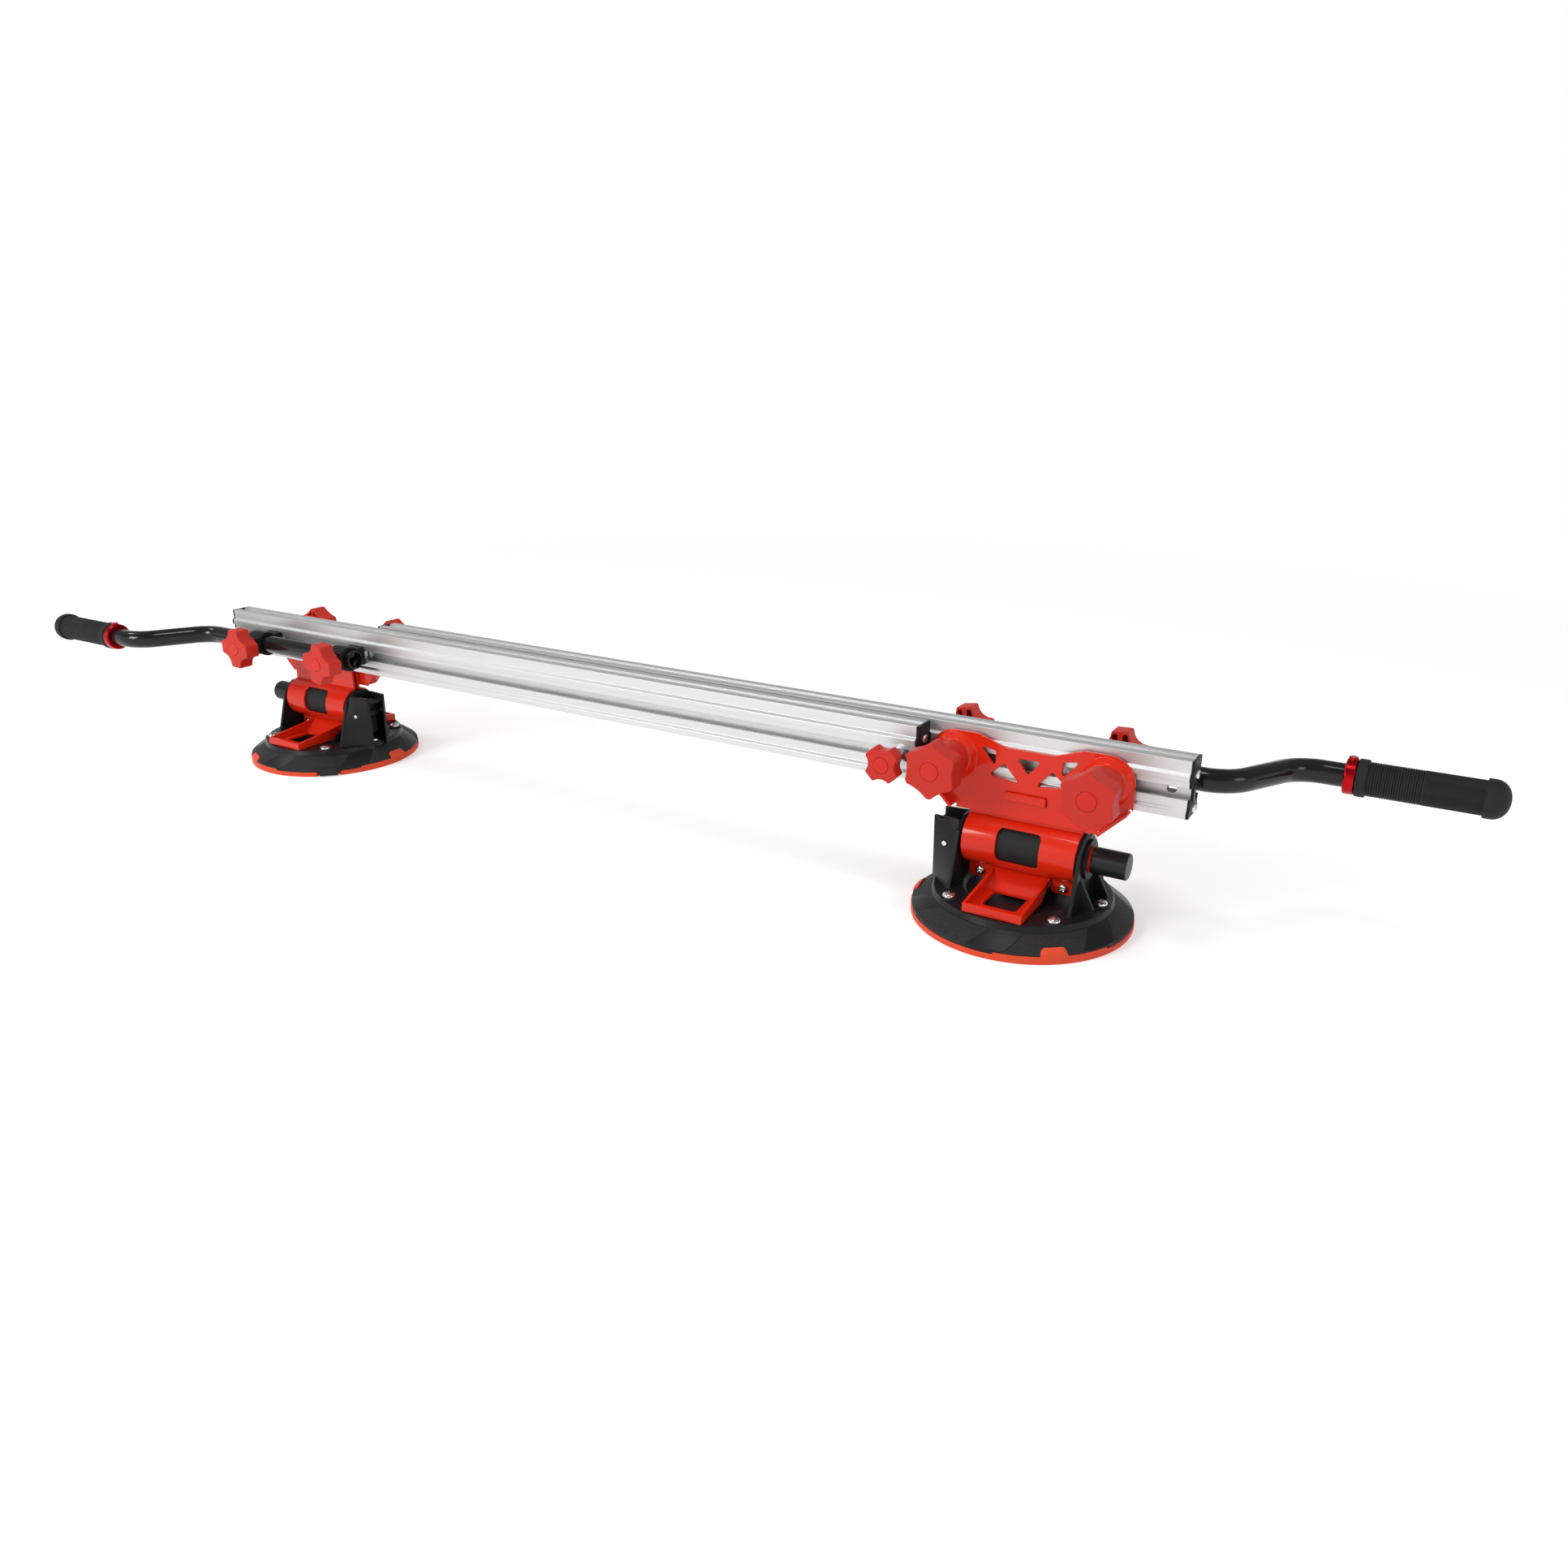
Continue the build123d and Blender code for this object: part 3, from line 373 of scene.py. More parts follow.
# Length lock: on each rail, a T-bolt whose head rides in the other rail's inner slot.
# The bolt and its spacer sleeve are zinc plated steel, and the four-lobed knob is moulded red plastic.
# The knob has soft edges, a fine matt grain and a bare round cap pressed into its face.
bolt_edge = 0.0003
knob_turns = 240
knob_edge = 0.0011
knob_edge_steps = 6
knob_back_edge = 0.0005
knob_wall = 0.003
knob_top = 0.004
knob_rib = 0.0024
knob_land = 0.001
knob_bore = 0.0043
cap_proud = 0.0005
cap_edge = 0.0003
cap_gap = 0.0004
cap_gap_depth = 0.0008
pocket_least = 0.0004
small_lobes = 4
small_hub = 0.011
small_cap = 0.0075
lock_soft = 0.0006
lock_reach = 0.0175
lock_flat = 0.0108
lock_scoop = 0.0027
lock_turn = 45
lock_depth = 0.0135
knob_colour = (0.49, 0.027, 0.016, 1)
cap_colour = (0.60, 0.016, 0.005, 1)


def knob_plastic(name, cap):
    """Matt moulded red with a fine grain, and a smoother and brighter cap round the knob's axis."""
    material, tree, shader = finish(name, specular_ior_level=0.3)
    grain = use(tree, moulded_grain, size=0.0005)
    apart = add(tree, "SeparateXYZ", {"Vector": add(tree, "TexCoord").outputs["Object"]})
    across = add(tree, "CombineXYZ", {"X": apart.outputs["X"], "Y": apart.outputs["Z"]})
    out = add(tree, "VectorMath", {"Vector": across.outputs["Vector"]}, operation="LENGTH")
    on_cap = add(tree, "Math", {0: out.outputs["Value"], 1: cap}, operation="LESS_THAN")
    both = {0: grain.outputs["Cloud"], 1: on_cap.outputs["Value"]}
    drift = add(tree, "Math", both, operation="MAXIMUM")
    smooth = add(tree, "Math", both, operation="SUBTRACT")
    colours(tree, shader, drift.outputs["Value"], knob_colour, cap_colour)
    between(tree, shader, "Roughness", smooth.outputs["Value"], low=0.40, high=0.58)
    relief(tree, shader, grain.outputs["Grain"], depth=0.00005)
    return material


def ring_mesh(name, sections):
    """Closed mesh through a run of sections that go once round an axis."""
    work = bmesh.new()
    rows = [[work.verts.new(point) for point in section] for section in sections]
    for number, row in enumerate(rows):
        after = rows[(number + 1) % len(rows)]
        for place in range(len(row) - 1):
            work.faces.new((row[place], row[place + 1], after[place + 1], after[place]))
    bmesh.ops.remove_doubles(work, verts=work.verts, dist=weld)
    bmesh.ops.recalc_face_normals(work, faces=work.faces)
    return as_mesh(name, work)


def lobed_outline(lobes, reach, flat, scoop, soft):
    """Radius of a lobed outline at each step round it, with a scoop between lobes and softened corners."""
    half_step = pi / lobes
    middle = reach * cos(half_step) + flat / 2 * sin(half_step)
    half = reach * sin(half_step) - flat / 2 * cos(half_step) - knob_land
    curve = (half**2 + scoop**2) / (2 * scoop)
    centre = middle - scoop + curve
    sharp = []
    for step in range(knob_turns):
        off_lobe = (2 * pi * step / knob_turns + half_step) % (2 * half_step) - half_step
        off_scoop = half_step - abs(off_lobe)
        radius = min(reach / cos(off_lobe), middle / cos(off_scoop))
        inside = curve**2 - (centre * sin(off_scoop)) ** 2
        if inside > 0:
            radius = min(radius, centre * cos(off_scoop) - inside**0.5)
        sharp.append(radius)
    spread = soft * knob_turns / (2 * pi * reach)
    near = range(-int(3 * spread), int(3 * spread) + 1)
    weights = [exp(-((offset / spread) ** 2) / 2) for offset in near]
    total = sum(weights)
    return [
        sum(weight * sharp[(step + offset) % knob_turns] for weight, offset in zip(weights, near)) / total
        for step in range(knob_turns)
    ]


def pockets(outline, lobes, hub, low, high):
    """Tool for the hollows between a knob's ribs, one wall in from its outline."""
    tool = bmesh.new()
    per_lobe = knob_turns // lobes
    for lobe in range(lobes):
        run = []
        for step in range(lobe * per_lobe, (lobe + 1) * per_lobe + 1):
            turn = 2 * pi * step / knob_turns
            outer = outline[step % knob_turns] - knob_wall
            off_rib = min(step - lobe * per_lobe, (lobe + 1) * per_lobe - step) * 2 * pi / knob_turns
            if hub * sin(off_rib) > knob_rib / 2 and outer > hub + pocket_least:
                run.append((turn, outer))
            elif run:
                prism(tool, run, hub, low, high)
                run = []
    bmesh.ops.recalc_face_normals(tool, faces=tool.faces)
    return as_mesh("pockets", tool)


def prism(tool, run, hub, low, high):
    """Block between a hub and a run of outer points, from one height to another."""
    edge = [(outer * cos(turn), outer * sin(turn)) for turn, outer in run]
    edge += [(hub * cos(turn), hub * sin(turn)) for turn, outer in reversed(run)]
    floor = [tool.verts.new((x, y, low)) for x, y in edge]
    roof = [tool.verts.new((x, y, high)) for x, y in edge]
    tool.faces.new(floor)
    tool.faces.new(roof)
    for number in range(len(edge)):
        after = (number + 1) % len(edge)
        tool.faces.new((floor[number], floor[after], roof[after], roof[number]))


def show_knob(node, way, outline, lobes, turn, hub, cap, depth, material):
    """A moulded knob on both halves. Way is the side of Y that its face is on."""
    low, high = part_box("right_" + node)
    neck = high.y - low.y - cap_proud - depth
    face = neck + depth
    sections = []
    for step, reach in enumerate(outline):
        section = [
            (0, face - knob_top), (knob_bore, face - knob_top), (knob_bore, 0),
            (hub - knob_back_edge, 0), (hub, knob_back_edge), (hub, neck),
            (reach - knob_back_edge, neck), (reach, neck + knob_back_edge),
        ]
        for part in range(knob_edge_steps + 1):
            round_turn = pi / 2 * part / knob_edge_steps
            inset = knob_edge * (1 - cos(round_turn))
            section.append((reach - inset, face - knob_edge * (1 - sin(round_turn))))
        section += [
            (cap + cap_gap, face), (cap + cap_gap, face - cap_gap_depth), (cap, face - cap_gap_depth),
            (cap, face + cap_proud - cap_edge), (cap - cap_edge, face + cap_proud), (0, face + cap_proud),
        ]
        angle = 2 * pi * step / knob_turns
        sections.append([(r * cos(angle), r * sin(angle), z) for r, z in section])
    hollows = pockets(outline, lobes, hub, neck - cap_gap_depth, face - knob_top)
    mesh = combined(ring_mesh(node, sections), hollows)
    mesh.transform(Matrix.Rotation(-way * pi / 2, 4, "X") @ Matrix.Rotation(radians(turn), 4, "Z"))
    seat = Vector(((low.x + high.x) / 2, low.y if way > 0 else high.y, (low.z + high.z) / 2))
    show(node, mesh, material, node, seat)


show("lock_bolt", eased("lock_bolt", (bolt_edge, edge_steps, anywhere)), zinc, "frame")
show("lock_sleeve", eased("lock_sleeve", (bolt_edge, edge_steps, anywhere)), zinc, "frame")
lock_outline = lobed_outline(small_lobes, lock_reach, lock_flat, lock_scoop, lock_soft)
small_red = knob_plastic("matt_red_small_knob", small_cap)
show_knob("lock_knob", 1, lock_outline, small_lobes, lock_turn, small_hub, small_cap, lock_depth, small_red)


# Bracket plate: a truss pressed from steel sheet, bolted to the rail by two T-bolts and their knobs.
# It is powder coated a glossy red, which rounds the sheet's edges and leaves a faint orange peel.
# The bosses under the knobs and the slanted flanges are pressed from the same sheet.
sheet_edge = 0.0005
boss_crown_radius = 0.0185
boss_foot_radius = 0.023
boss_crown_edge = 0.0022
boss_crown_steps = 4
boss_crown_least = 0.010
boss_foot_edge = 0.0008
boss_foot_steps = 3
boss_foot_least = 0.002
boss_room = 0.0008
truss_lobes = 6
truss_reach = 0.0265
truss_flat = 0.0034
truss_scoop = 0.0014
truss_soft = 0.0004
truss_turn = 30
truss_hub = 0.018
truss_cap = 0.0088
truss_depth = 0.020
red_coat = moulded(
    "glossy_red_powder_coat", (0.66, 0.018, 0.003, 1), (0.72, 0.023, 0.005, 1),
    smooth=0.24, rough=0.32, size=0.0018, depth=0.00003,
    specular_ior_level=0.12, coat_weight=0.4, coat_roughness=0.06,
)
plate_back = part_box("right_bracket_plate")[1].y
boss_axes = []
for place in ("inner", "outer"):
    low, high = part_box("right_bracket_knob_" + place)
    boss_axes.append((low + high) / 2)


def off_boss(middle):
    return min(hypot(middle.x - axis.x, middle.z - axis.z) for axis in boss_axes)


def boss_crown(middle):
    near = abs(off_boss(middle) - boss_crown_radius) < boss_room
    return near and middle.y < plate_back - boss_crown_least


def boss_foot(middle):
    near = abs(off_boss(middle) - boss_foot_radius) < boss_room
    return near and middle.y < plate_back - boss_foot_least


truss = eased(
    "bracket_plate",
    (boss_crown_edge, boss_crown_steps, boss_crown),
    (boss_foot_edge, boss_foot_steps, boss_foot),
    (sheet_edge, edge_steps, anywhere),
)
show("bracket_plate", truss, red_coat, "bracket")
show("bracket_bolts", eased("bracket_bolts", (bolt_edge, edge_steps, anywhere)), zinc, "bracket")
truss_outline = lobed_outline(truss_lobes, truss_reach, truss_flat, truss_scoop, truss_soft)
truss_red = knob_plastic("matt_red_large_knob", truss_cap)
for place in ("inner", "outer"):
    show_knob(
        f"bracket_knob_{place}", -1, truss_outline, truss_lobes, truss_turn, truss_hub, truss_cap,
        truss_depth, truss_red,
    )


# Clamp: two half shells of the same red sheet, closed round the pump barrel by two screws and nuts.
# Each has a window over the barrel's sleeve and a tray that reaches out over the cup.
# The rear shell's tongue passes through both sheets of the front and shows as a bare bar.
clamp_screw_height = 0.0034
clamp_screw_shank = 0.0025
clamp_screw_head = 0.0046
nut_edge = 0.0004
for place in ("front", "rear"):
    shell = f"clamp_{place}"
    show(shell, eased(shell, (sheet_edge, edge_steps, anywhere)), red_coat, "bracket")
seats = []
work = plain("clamp_screws")
solids = [corners(group) for group in islands(work)]
work.free()
clamp_face = min(low.y for low, high in solids) + clamp_screw_height
for low, high in solids:
    if low.y < clamp_face:
        seats.append((Vector(((low.x + high.x) / 2, clamp_face, (low.z + high.z) / 2)), (0, -1, 0)))
        clamp_screw_length = high.y - clamp_face
screws = turned_screws(
    "clamp_screws", seats, clamp_screw_head, clamp_screw_height, pan_crown, clamp_screw_shank,
    clamp_screw_length,
)
nuts = eased(
    "clamp_screws", (nut_edge, edge_steps, anywhere), kept=lambda low, high: low.y > clamp_face
)
work = bmesh.new()
work.from_mesh(screws)
work.from_mesh(nuts)
show("clamp_screws", as_mesh("clamp_screws", work), zinc, "bracket")


# Cup pad: a round pad of soft red rubber, moulded in one piece with its sealing lip and three lift tabs.
# It is held under the base, so its rim shows all round below the base, and the tabs lie up on the skirt.
# The rim stands higher beside each tab, and it is cut away for the base's lug.
pad_low, pad_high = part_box("right_cup_pad")
cup = Vector(((pad_low.x + pad_high.x) / 2, (pad_low.y + pad_high.y) / 2, 0))
pad_radius = (pad_high.x - pad_low.x) / 2
pad_roof = 0.0045
pad_top = 0.008
pad_lip = 0.008
pad_step = 0.098
lip_slope = 0.0035
rim_foot = ((-0.0008, 0), (-0.0002, 0.0002), (0, 0.0008), (0, 0.0035))
rim_edge = (
    (0, -0.0005), (-0.0001, -0.0002), (-0.0003, 0), (-0.0004, 0),
    (-0.0005, 0), (-0.0006, 0), (-0.0007, 0), (-0.0008, 0),
)
rim_inset = 0.0009
tab_edge = (
    (0.0005, 0.0098), (0.0003, 0.0106), (-0.0002, 0.0112), (-0.0045, 0.0145),
    (-0.0050, 0.0147), (-0.0056, 0.0143), (-0.0057, 0.0137), (-0.0006, 0.0101),
)
rim_height = 0.0056
rise_height = 0.0021
rise_half = 30.0
rise_ease = 0.5
tab_angles = (67, 187, 307)
tab_half = 7.0
tab_corner = 2.6
lug_angle = 135.0
lug_half = 7.6
lug_notch = 0.0054
lug_ease = 0.45
pad_steps = 480
fine_steps = 14
red_rubber = moulded(
    "soft_red_rubber", (0.68, 0.058, 0.018, 1), (0.75, 0.070, 0.024, 1),
    smooth=0.48, rough=0.60, size=0.0008, depth=0.00004, specular_ior_level=0.3,
)


def step_up(distance, half, ease):
    """One inside half a width, nothing outside it, with a smooth step between."""
    share = min(1.0, max(0.0, (half + ease - distance) / (2 * ease)))
    return share * share * (3 - 2 * share)


def turn_between(angle, other):
    return abs((angle - other + 180) % 360 - 180)


def rim_crest(angle):
    """Height of the pad's rim at an angle, and how much of a tab's height stands there."""
    away = min(turn_between(angle, tab) for tab in tab_angles)
    into_corner = min(1.0, max(0.0, (away - tab_half + tab_corner) / tab_corner))
    return rim_height + rise_height * step_up(away, rise_half, rise_ease), (1 - into_corner**2) ** 0.5


def pad_section(angle):
    """The pad's section at an angle: radius and height from the roof out under the lip and back over.

    The rim's edge turns into the tab's edge as far as a tab stands there.
    """
    crest, tab = rim_crest(angle)
    rim = pad_radius - lug_notch * step_up(turn_between(angle, lug_angle), lug_half, lug_ease)
    lip = pad_radius - pad_lip
    under = [(0, pad_roof), (lip - lip_slope, pad_roof), (lip, 0)]
    foot = [(rim + r, z) for r, z in rim_foot]
    edge = [(rim + r, crest + z) for r, z in rim_edge]
    flap = [(rim + r, z) for r, z in tab_edge]
    blended = [(a + (c - a) * tab, b + (d - b) * tab) for (a, b), (c, d) in zip(edge, flap)]
    over = [(rim - rim_inset, crest), (pad_step, crest), (pad_step, pad_top), (0, pad_top)]
    return under + foot + blended + over


def all_round(steps_at):
    """Angles once round, closer together at each step up or down."""
    turns = [step * 360 / pad_steps for step in range(pad_steps)]
    for middle, half, ease in steps_at:
        for step in range(fine_steps + 1):
            offset = half - ease + 2 * ease * step / fine_steps
            turns += [(middle + offset) % 360, (middle - offset) % 360]
    return sorted(set(turns))


def swept(name, section, steps_at):
    """Closed mesh of a section that changes with its angle round the cup's axis."""
    sections = []
    for angle in all_round(steps_at):
        turn = radians(angle)
        sections.append([(r * cos(turn), r * sin(turn), z) for r, z in section(angle)])
    return ring_mesh(name, sections)


rises = [(tab, rise_half, rise_ease) for tab in tab_angles]
tabs = [(tab, tab_half - tab_corner / 2, tab_corner / 2) for tab in tab_angles]
pad = swept("cup_pad", pad_section, rises + tabs + [(lug_angle, lug_half, lug_ease)])
for piece in show("cup_pad", pad, red_rubber, "bracket", cup):
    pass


# Cup base: a black moulded shell with a raised plateau, two fins for the pump and a channel for the lever.
# Sectors of its skirt are finely grained and the ones between them are smooth, as the mould leaves them.
# Six domed screws with cross recesses hold the pad's inner plate up against it.
base_edge = 0.0006
base_edge_level = 0.0225
skirt_inner = 0.0862
skirt_outer = 0.1040
skirt_top = 0.0216
skirt_slope = 0.6667
skirt_bulge = 0.0005
skirt_points = 10
skirt_under = 0.003
shoulder_in = 0.0009
shoulder_up = 0.0008
shoulder_foot = 0.0005
lip_radius = 0.1044
lip_room = 0.0001
lip_edge = ((-0.0001, -0.0002), (0, -0.0006))
lip_foot = ((0, 0.0002), (-0.0002, 0))
lip_inner = 0.0985
lip_roof = (0.097, 0.0105)
sector_count = 6
sector_middle = 282.5
swirl_turn = radians(9)
swirl_run = 0.016
smooth_share = 0.5
sector_edge = 0.03
glint_from = 0.35
glint_to = 0.65
base_colour = (0.012, 0.012, 0.013, 1)
# A lighter grey for the grain's raised points on the grained sectors: a painted glint that stands in for
# the grain's sparkle.
painted_glint_colour = (0.038, 0.038, 0.040, 1)
mask_edge = 0.0006
base_screw_head = 0.0062
base_screw_height = 0.0034
base_seat_height = 0.003
base_screw_shank = 0.002
dome_crown = 0.9
base_plastic, tree, shader = finish("grained_black_base", specular_ior_level=0.17)
apart = add(tree, "SeparateXYZ", {"Vector": add(tree, "TexCoord").outputs["Object"]})
flat_place = add(tree, "CombineXYZ", {"X": apart.outputs["X"], "Y": apart.outputs["Y"]})
out = add(tree, "VectorMath", {"Vector": flat_place.outputs["Vector"]}, operation="LENGTH")
past = add(tree, "Math", {0: out.outputs["Value"], 1: skirt_inner}, operation="SUBTRACT")
straight = add(tree, "Math", {0: apart.outputs["Y"], 1: apart.outputs["X"]}, operation="ARCTAN2")
turned = add(tree, "Math", {
    0: past.outputs["Value"], 1: swirl_turn / swirl_run, 2: straight.outputs["Value"],
}, operation="MULTIPLY_ADD")
waves = add(tree, "Math", {0: turned.outputs["Value"], 1: sector_count}, operation="MULTIPLY")
phase = add(tree, "Math", {
    0: waves.outputs["Value"], 1: radians(sector_middle * sector_count),
}, operation="SUBTRACT")
swing = add(tree, "Math", {0: phase.outputs["Value"]}, operation="COSINE")
sector = add(tree, "MapRange", {
    "Value": swing.outputs["Value"],
    "From Min": smooth_share + sector_edge, "From Max": smooth_share - sector_edge,
})
on_skirt = add(tree, "MapRange", {
    "Value": out.outputs["Value"], "From Min": skirt_inner, "From Max": skirt_inner + mask_edge,
})
below = add(tree, "MapRange", {
    "Value": apart.outputs["Z"], "From Min": skirt_top + mask_edge, "From Max": skirt_top,
})
skirt = add(tree, "Math", {0: on_skirt.outputs["Result"], 1: below.outputs["Result"]}, operation="MULTIPLY")
grained = add(tree, "Math", {0: skirt.outputs["Value"], 1: sector.outputs["Result"]}, operation="MULTIPLY")
coarse = use(tree, moulded_grain, size=0.0008)
stands = add(tree, "Math", {0: coarse.outputs["Grain"], 1: grained.outputs["Value"]}, operation="MULTIPLY")
# The grain's raised points on the grained sectors take the lighter grey as painted glints; the grain's
# relief itself is real.
painted_glint = add(tree, "MapRange", {
    "Value": stands.outputs["Value"], "From Min": glint_from, "From Max": glint_to,
})
colours(tree, shader, painted_glint.outputs["Result"], base_colour, painted_glint_colour)
between(tree, shader, "Roughness", grained.outputs["Value"], low=0.34, high=0.60)
relief(tree, shader, stands.outputs["Value"], depth=0.0006)


def skirt_section(angle):
    """The base's skirt and rim at an angle, as a closed run of radius and height."""
    foot = rim_crest(angle)[0] + lip_room
    points = [(skirt_inner - shoulder_in, skirt_top + shoulder_up)]
    for step in range(skirt_points + 1):
        along = step / skirt_points
        r = skirt_inner + (skirt_outer - skirt_inner) * along
        bulge = skirt_bulge * 4 * along * (1 - along)
        points.append((r, skirt_top - skirt_slope * (r - skirt_inner) + bulge))
    end = points[-1][1]
    points += [(lip_radius + r, end + z) for r, z in lip_edge]
    points += [(lip_radius + r, foot + z) for r, z in lip_foot]
    points += [(lip_inner, foot), lip_roof, (skirt_inner - shoulder_foot, skirt_top - skirt_under)]
    return points + [points[0]]


shell = eased("cup_base", (base_edge, edge_steps, lambda middle: middle.z > base_edge_level), at=cup)
shell = combined(shell, swept("skirt", skirt_section, rises), "UNION")
show("cup_base", shell, base_plastic, "bracket", cup)
seats = []
work = plain("base_screws")
for group in islands(work):
    low, high = corners(group)
    middle = (low + high) / 2
    seats.append((Vector((middle.x, middle.y, high.z - base_seat_height)), (0, 0, 1)))
    base_screw_length = high.z - low.z - base_seat_height
work.free()
screws = turned_screws(
    "base_screws", seats, base_screw_head, base_screw_height, dome_crown, base_screw_shank,
    base_screw_length,
)
show("base_screws", screws, zinc, "bracket")


# Pump: a plastic barrel held in the fins, with a rubber sleeve that the clamp grips.
# The sprung plunger slides in its end, and a painted red line in a groove shows the vacuum.
# The release lever turns on a zinc pin in the channel of the base.
pump_edge = 0.0005
pin_steps = 3
sleeve_bore = 0.0146
sleeve_round = 0.0012
round_share = 0.3
turned_steps = 96
line_width = 0.002
line_colour = (0.66, 0.010, 0.008, 1)
plunger_colour = (0.011, 0.011, 0.012, 1)
spring_wire = 0.0009
spring_turns = 7
turn_steps = 36
wire_steps = 10
thumb_level = 0.078
thumb_drop = 0.009
black_rubber = moulded(
    "matt_black_rubber", (0.012, 0.012, 0.013, 1), (0.019, 0.019, 0.020, 1),
    smooth=0.55, rough=0.70, size=0.0007, depth=0.00006, specular_ior_level=0.22,
)
barrel = eased("pump_barrel", (pump_edge, edge_steps, anywhere))
show("pump_barrel", barrel, black_plastic, "bracket")
sleeve_low, sleeve_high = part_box("right_barrel_sleeve")
sleeve_middle = (sleeve_low + sleeve_high) / 2
sleeve_radius = (sleeve_high.z - sleeve_low.z) / 2
sleeve_half = (sleeve_high.x - sleeve_low.x) / 2


def lathe_x(name, profile, steps):
    """Closed mesh of a run of distance along X and radius, turned round X."""
    sections = []
    for step in range(steps):
        turn = 2 * pi * step / steps
        sections.append([(x, r * cos(turn), r * sin(turn)) for x, r in profile])
    return ring_mesh(name, sections)


def wound_wire(name, radius, length):
    """A spring of round wire wound round X, from end to end of its length."""
    work = bmesh.new()
    rows = []
    for step in range(spring_turns * turn_steps + 1):
        turn = 2 * pi * step / turn_steps
        along = (length - 2 * spring_wire) * (step / (spring_turns * turn_steps) - 0.5)
        row = []
        for point in range(wire_steps):
            round_wire = 2 * pi * point / wire_steps
            x = along + spring_wire * sin(round_wire)
            out = radius - spring_wire + spring_wire * cos(round_wire)
            row.append(work.verts.new((x, out * cos(turn), out * sin(turn))))
        rows.append(row)
    for row, after in zip(rows, rows[1:]):
        for point in range(wire_steps):
            beside = (point + 1) % wire_steps
            work.faces.new((row[point], row[beside], after[beside], after[point]))
    work.faces.new(rows[0])
    work.faces.new(rows[-1])
    bmesh.ops.recalc_face_normals(work, faces=work.faces)
    return as_mesh(name, work)


sleeve = lathe_x("barrel_sleeve", [
    (-sleeve_half, sleeve_bore),
    (-sleeve_half, sleeve_radius - sleeve_round),
    (-sleeve_half + sleeve_round * round_share, sleeve_radius - sleeve_round * round_share),
    (-sleeve_half + sleeve_round, sleeve_radius),
    (sleeve_half - sleeve_round, sleeve_radius),
    (sleeve_half - sleeve_round * round_share, sleeve_radius - sleeve_round * round_share),
    (sleeve_half, sleeve_radius - sleeve_round),
    (sleeve_half, sleeve_bore),
    (-sleeve_half, sleeve_bore),
], turned_steps)
show("barrel_sleeve", sleeve, black_rubber, "bracket", sleeve_middle)
plunger_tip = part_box("right_plunger")[1].x
barrel_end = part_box("right_pump_barrel")[1].x
plunger_plastic, tree, shader = finish("black_plunger_with_red_line", specular_ior_level=0.25)
apart = add(tree, "SeparateXYZ", {"Vector": add(tree, "TexCoord").outputs["Object"]})
line_middle = barrel_end - plunger_tip + line_width / 2
line = add(tree, "Math", {0: apart.outputs["X"], 1: line_middle, 2: line_width / 2}, operation="COMPARE")
grain = use(tree, moulded_grain, size=0.0006)
colours(tree, shader, line.outputs["Value"], plunger_colour, line_colour)
between(tree, shader, "Roughness", grain.outputs["Cloud"], low=0.30, high=0.42)
relief(tree, shader, grain.outputs["Grain"], depth=0.00004)
plunger_at = Vector((plunger_tip, 0, 0))
show("plunger", eased("plunger", at=plunger_at), plunger_plastic, "plunger", plunger_at)
spring_low, spring_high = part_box("right_plunger_spring")
spring_middle = (spring_low + spring_high) / 2
spring_length = spring_high.x - spring_low.x
spring = wound_wire("plunger_spring", (spring_high.z - spring_low.z) / 2, spring_length)
springs = show("plunger_spring", spring, zinc, "bracket", spring_middle)
for piece, (side, turn) in zip(springs, halves):
    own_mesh(piece)
lever = eased("release_lever", (pump_edge, edge_steps, anywhere))
for point in lever.vertices:
    if point.co.z > thumb_level:
        point.co.z -= thumb_drop
show("release_lever", lever, black_plastic, "lever")
show("lever_pin", eased("lever_pin", (pump_edge, pin_steps, anywhere)), zinc, "bracket")


# Handle: a steel tube bent into an offset, gloss black powder coated, held to the rail by two saddles.
# The saddles are black moulded blocks that close round the tube, each drawn up by a T-bolt and a knob.
# The tube's inner end is left open.
tube_edge = 0.0003
saddle_edge = 0.0008
handle_reach = 0.024
handle_flat = 0.0155
handle_scoop = 0.0045
handle_depth = 0.018
handle_soft = 0.0009
handle_turns = (("inner", -9), ("outer", -3))
tube_coat = moulded(
    "gloss_black_tube_coat", (0.006, 0.006, 0.0065, 1), (0.010, 0.010, 0.0105, 1),
    smooth=0.13, rough=0.20, size=0.0020, depth=0.00003,
    specular_ior_level=0.25, coat_weight=0.15, coat_roughness=0.05,
)
tube = eased("handle_tube", (tube_edge, edge_steps, anywhere))
show("handle_tube", tube, tube_coat, "handle")
saddles = eased("handle_saddles", (saddle_edge, edge_steps, anywhere))
show("handle_saddles", saddles, black_plastic, "handle")
show("handle_bolts", eased("handle_bolts", (bolt_edge, edge_steps, anywhere)), zinc, "handle")
handle_outline = lobed_outline(small_lobes, handle_reach, handle_flat, handle_scoop, handle_soft)
for place, turn in handle_turns:
    show_knob(
        f"handle_knob_{place}", 1, handle_outline, small_lobes, turn, small_hub, small_cap, handle_depth,
        small_red,
    )


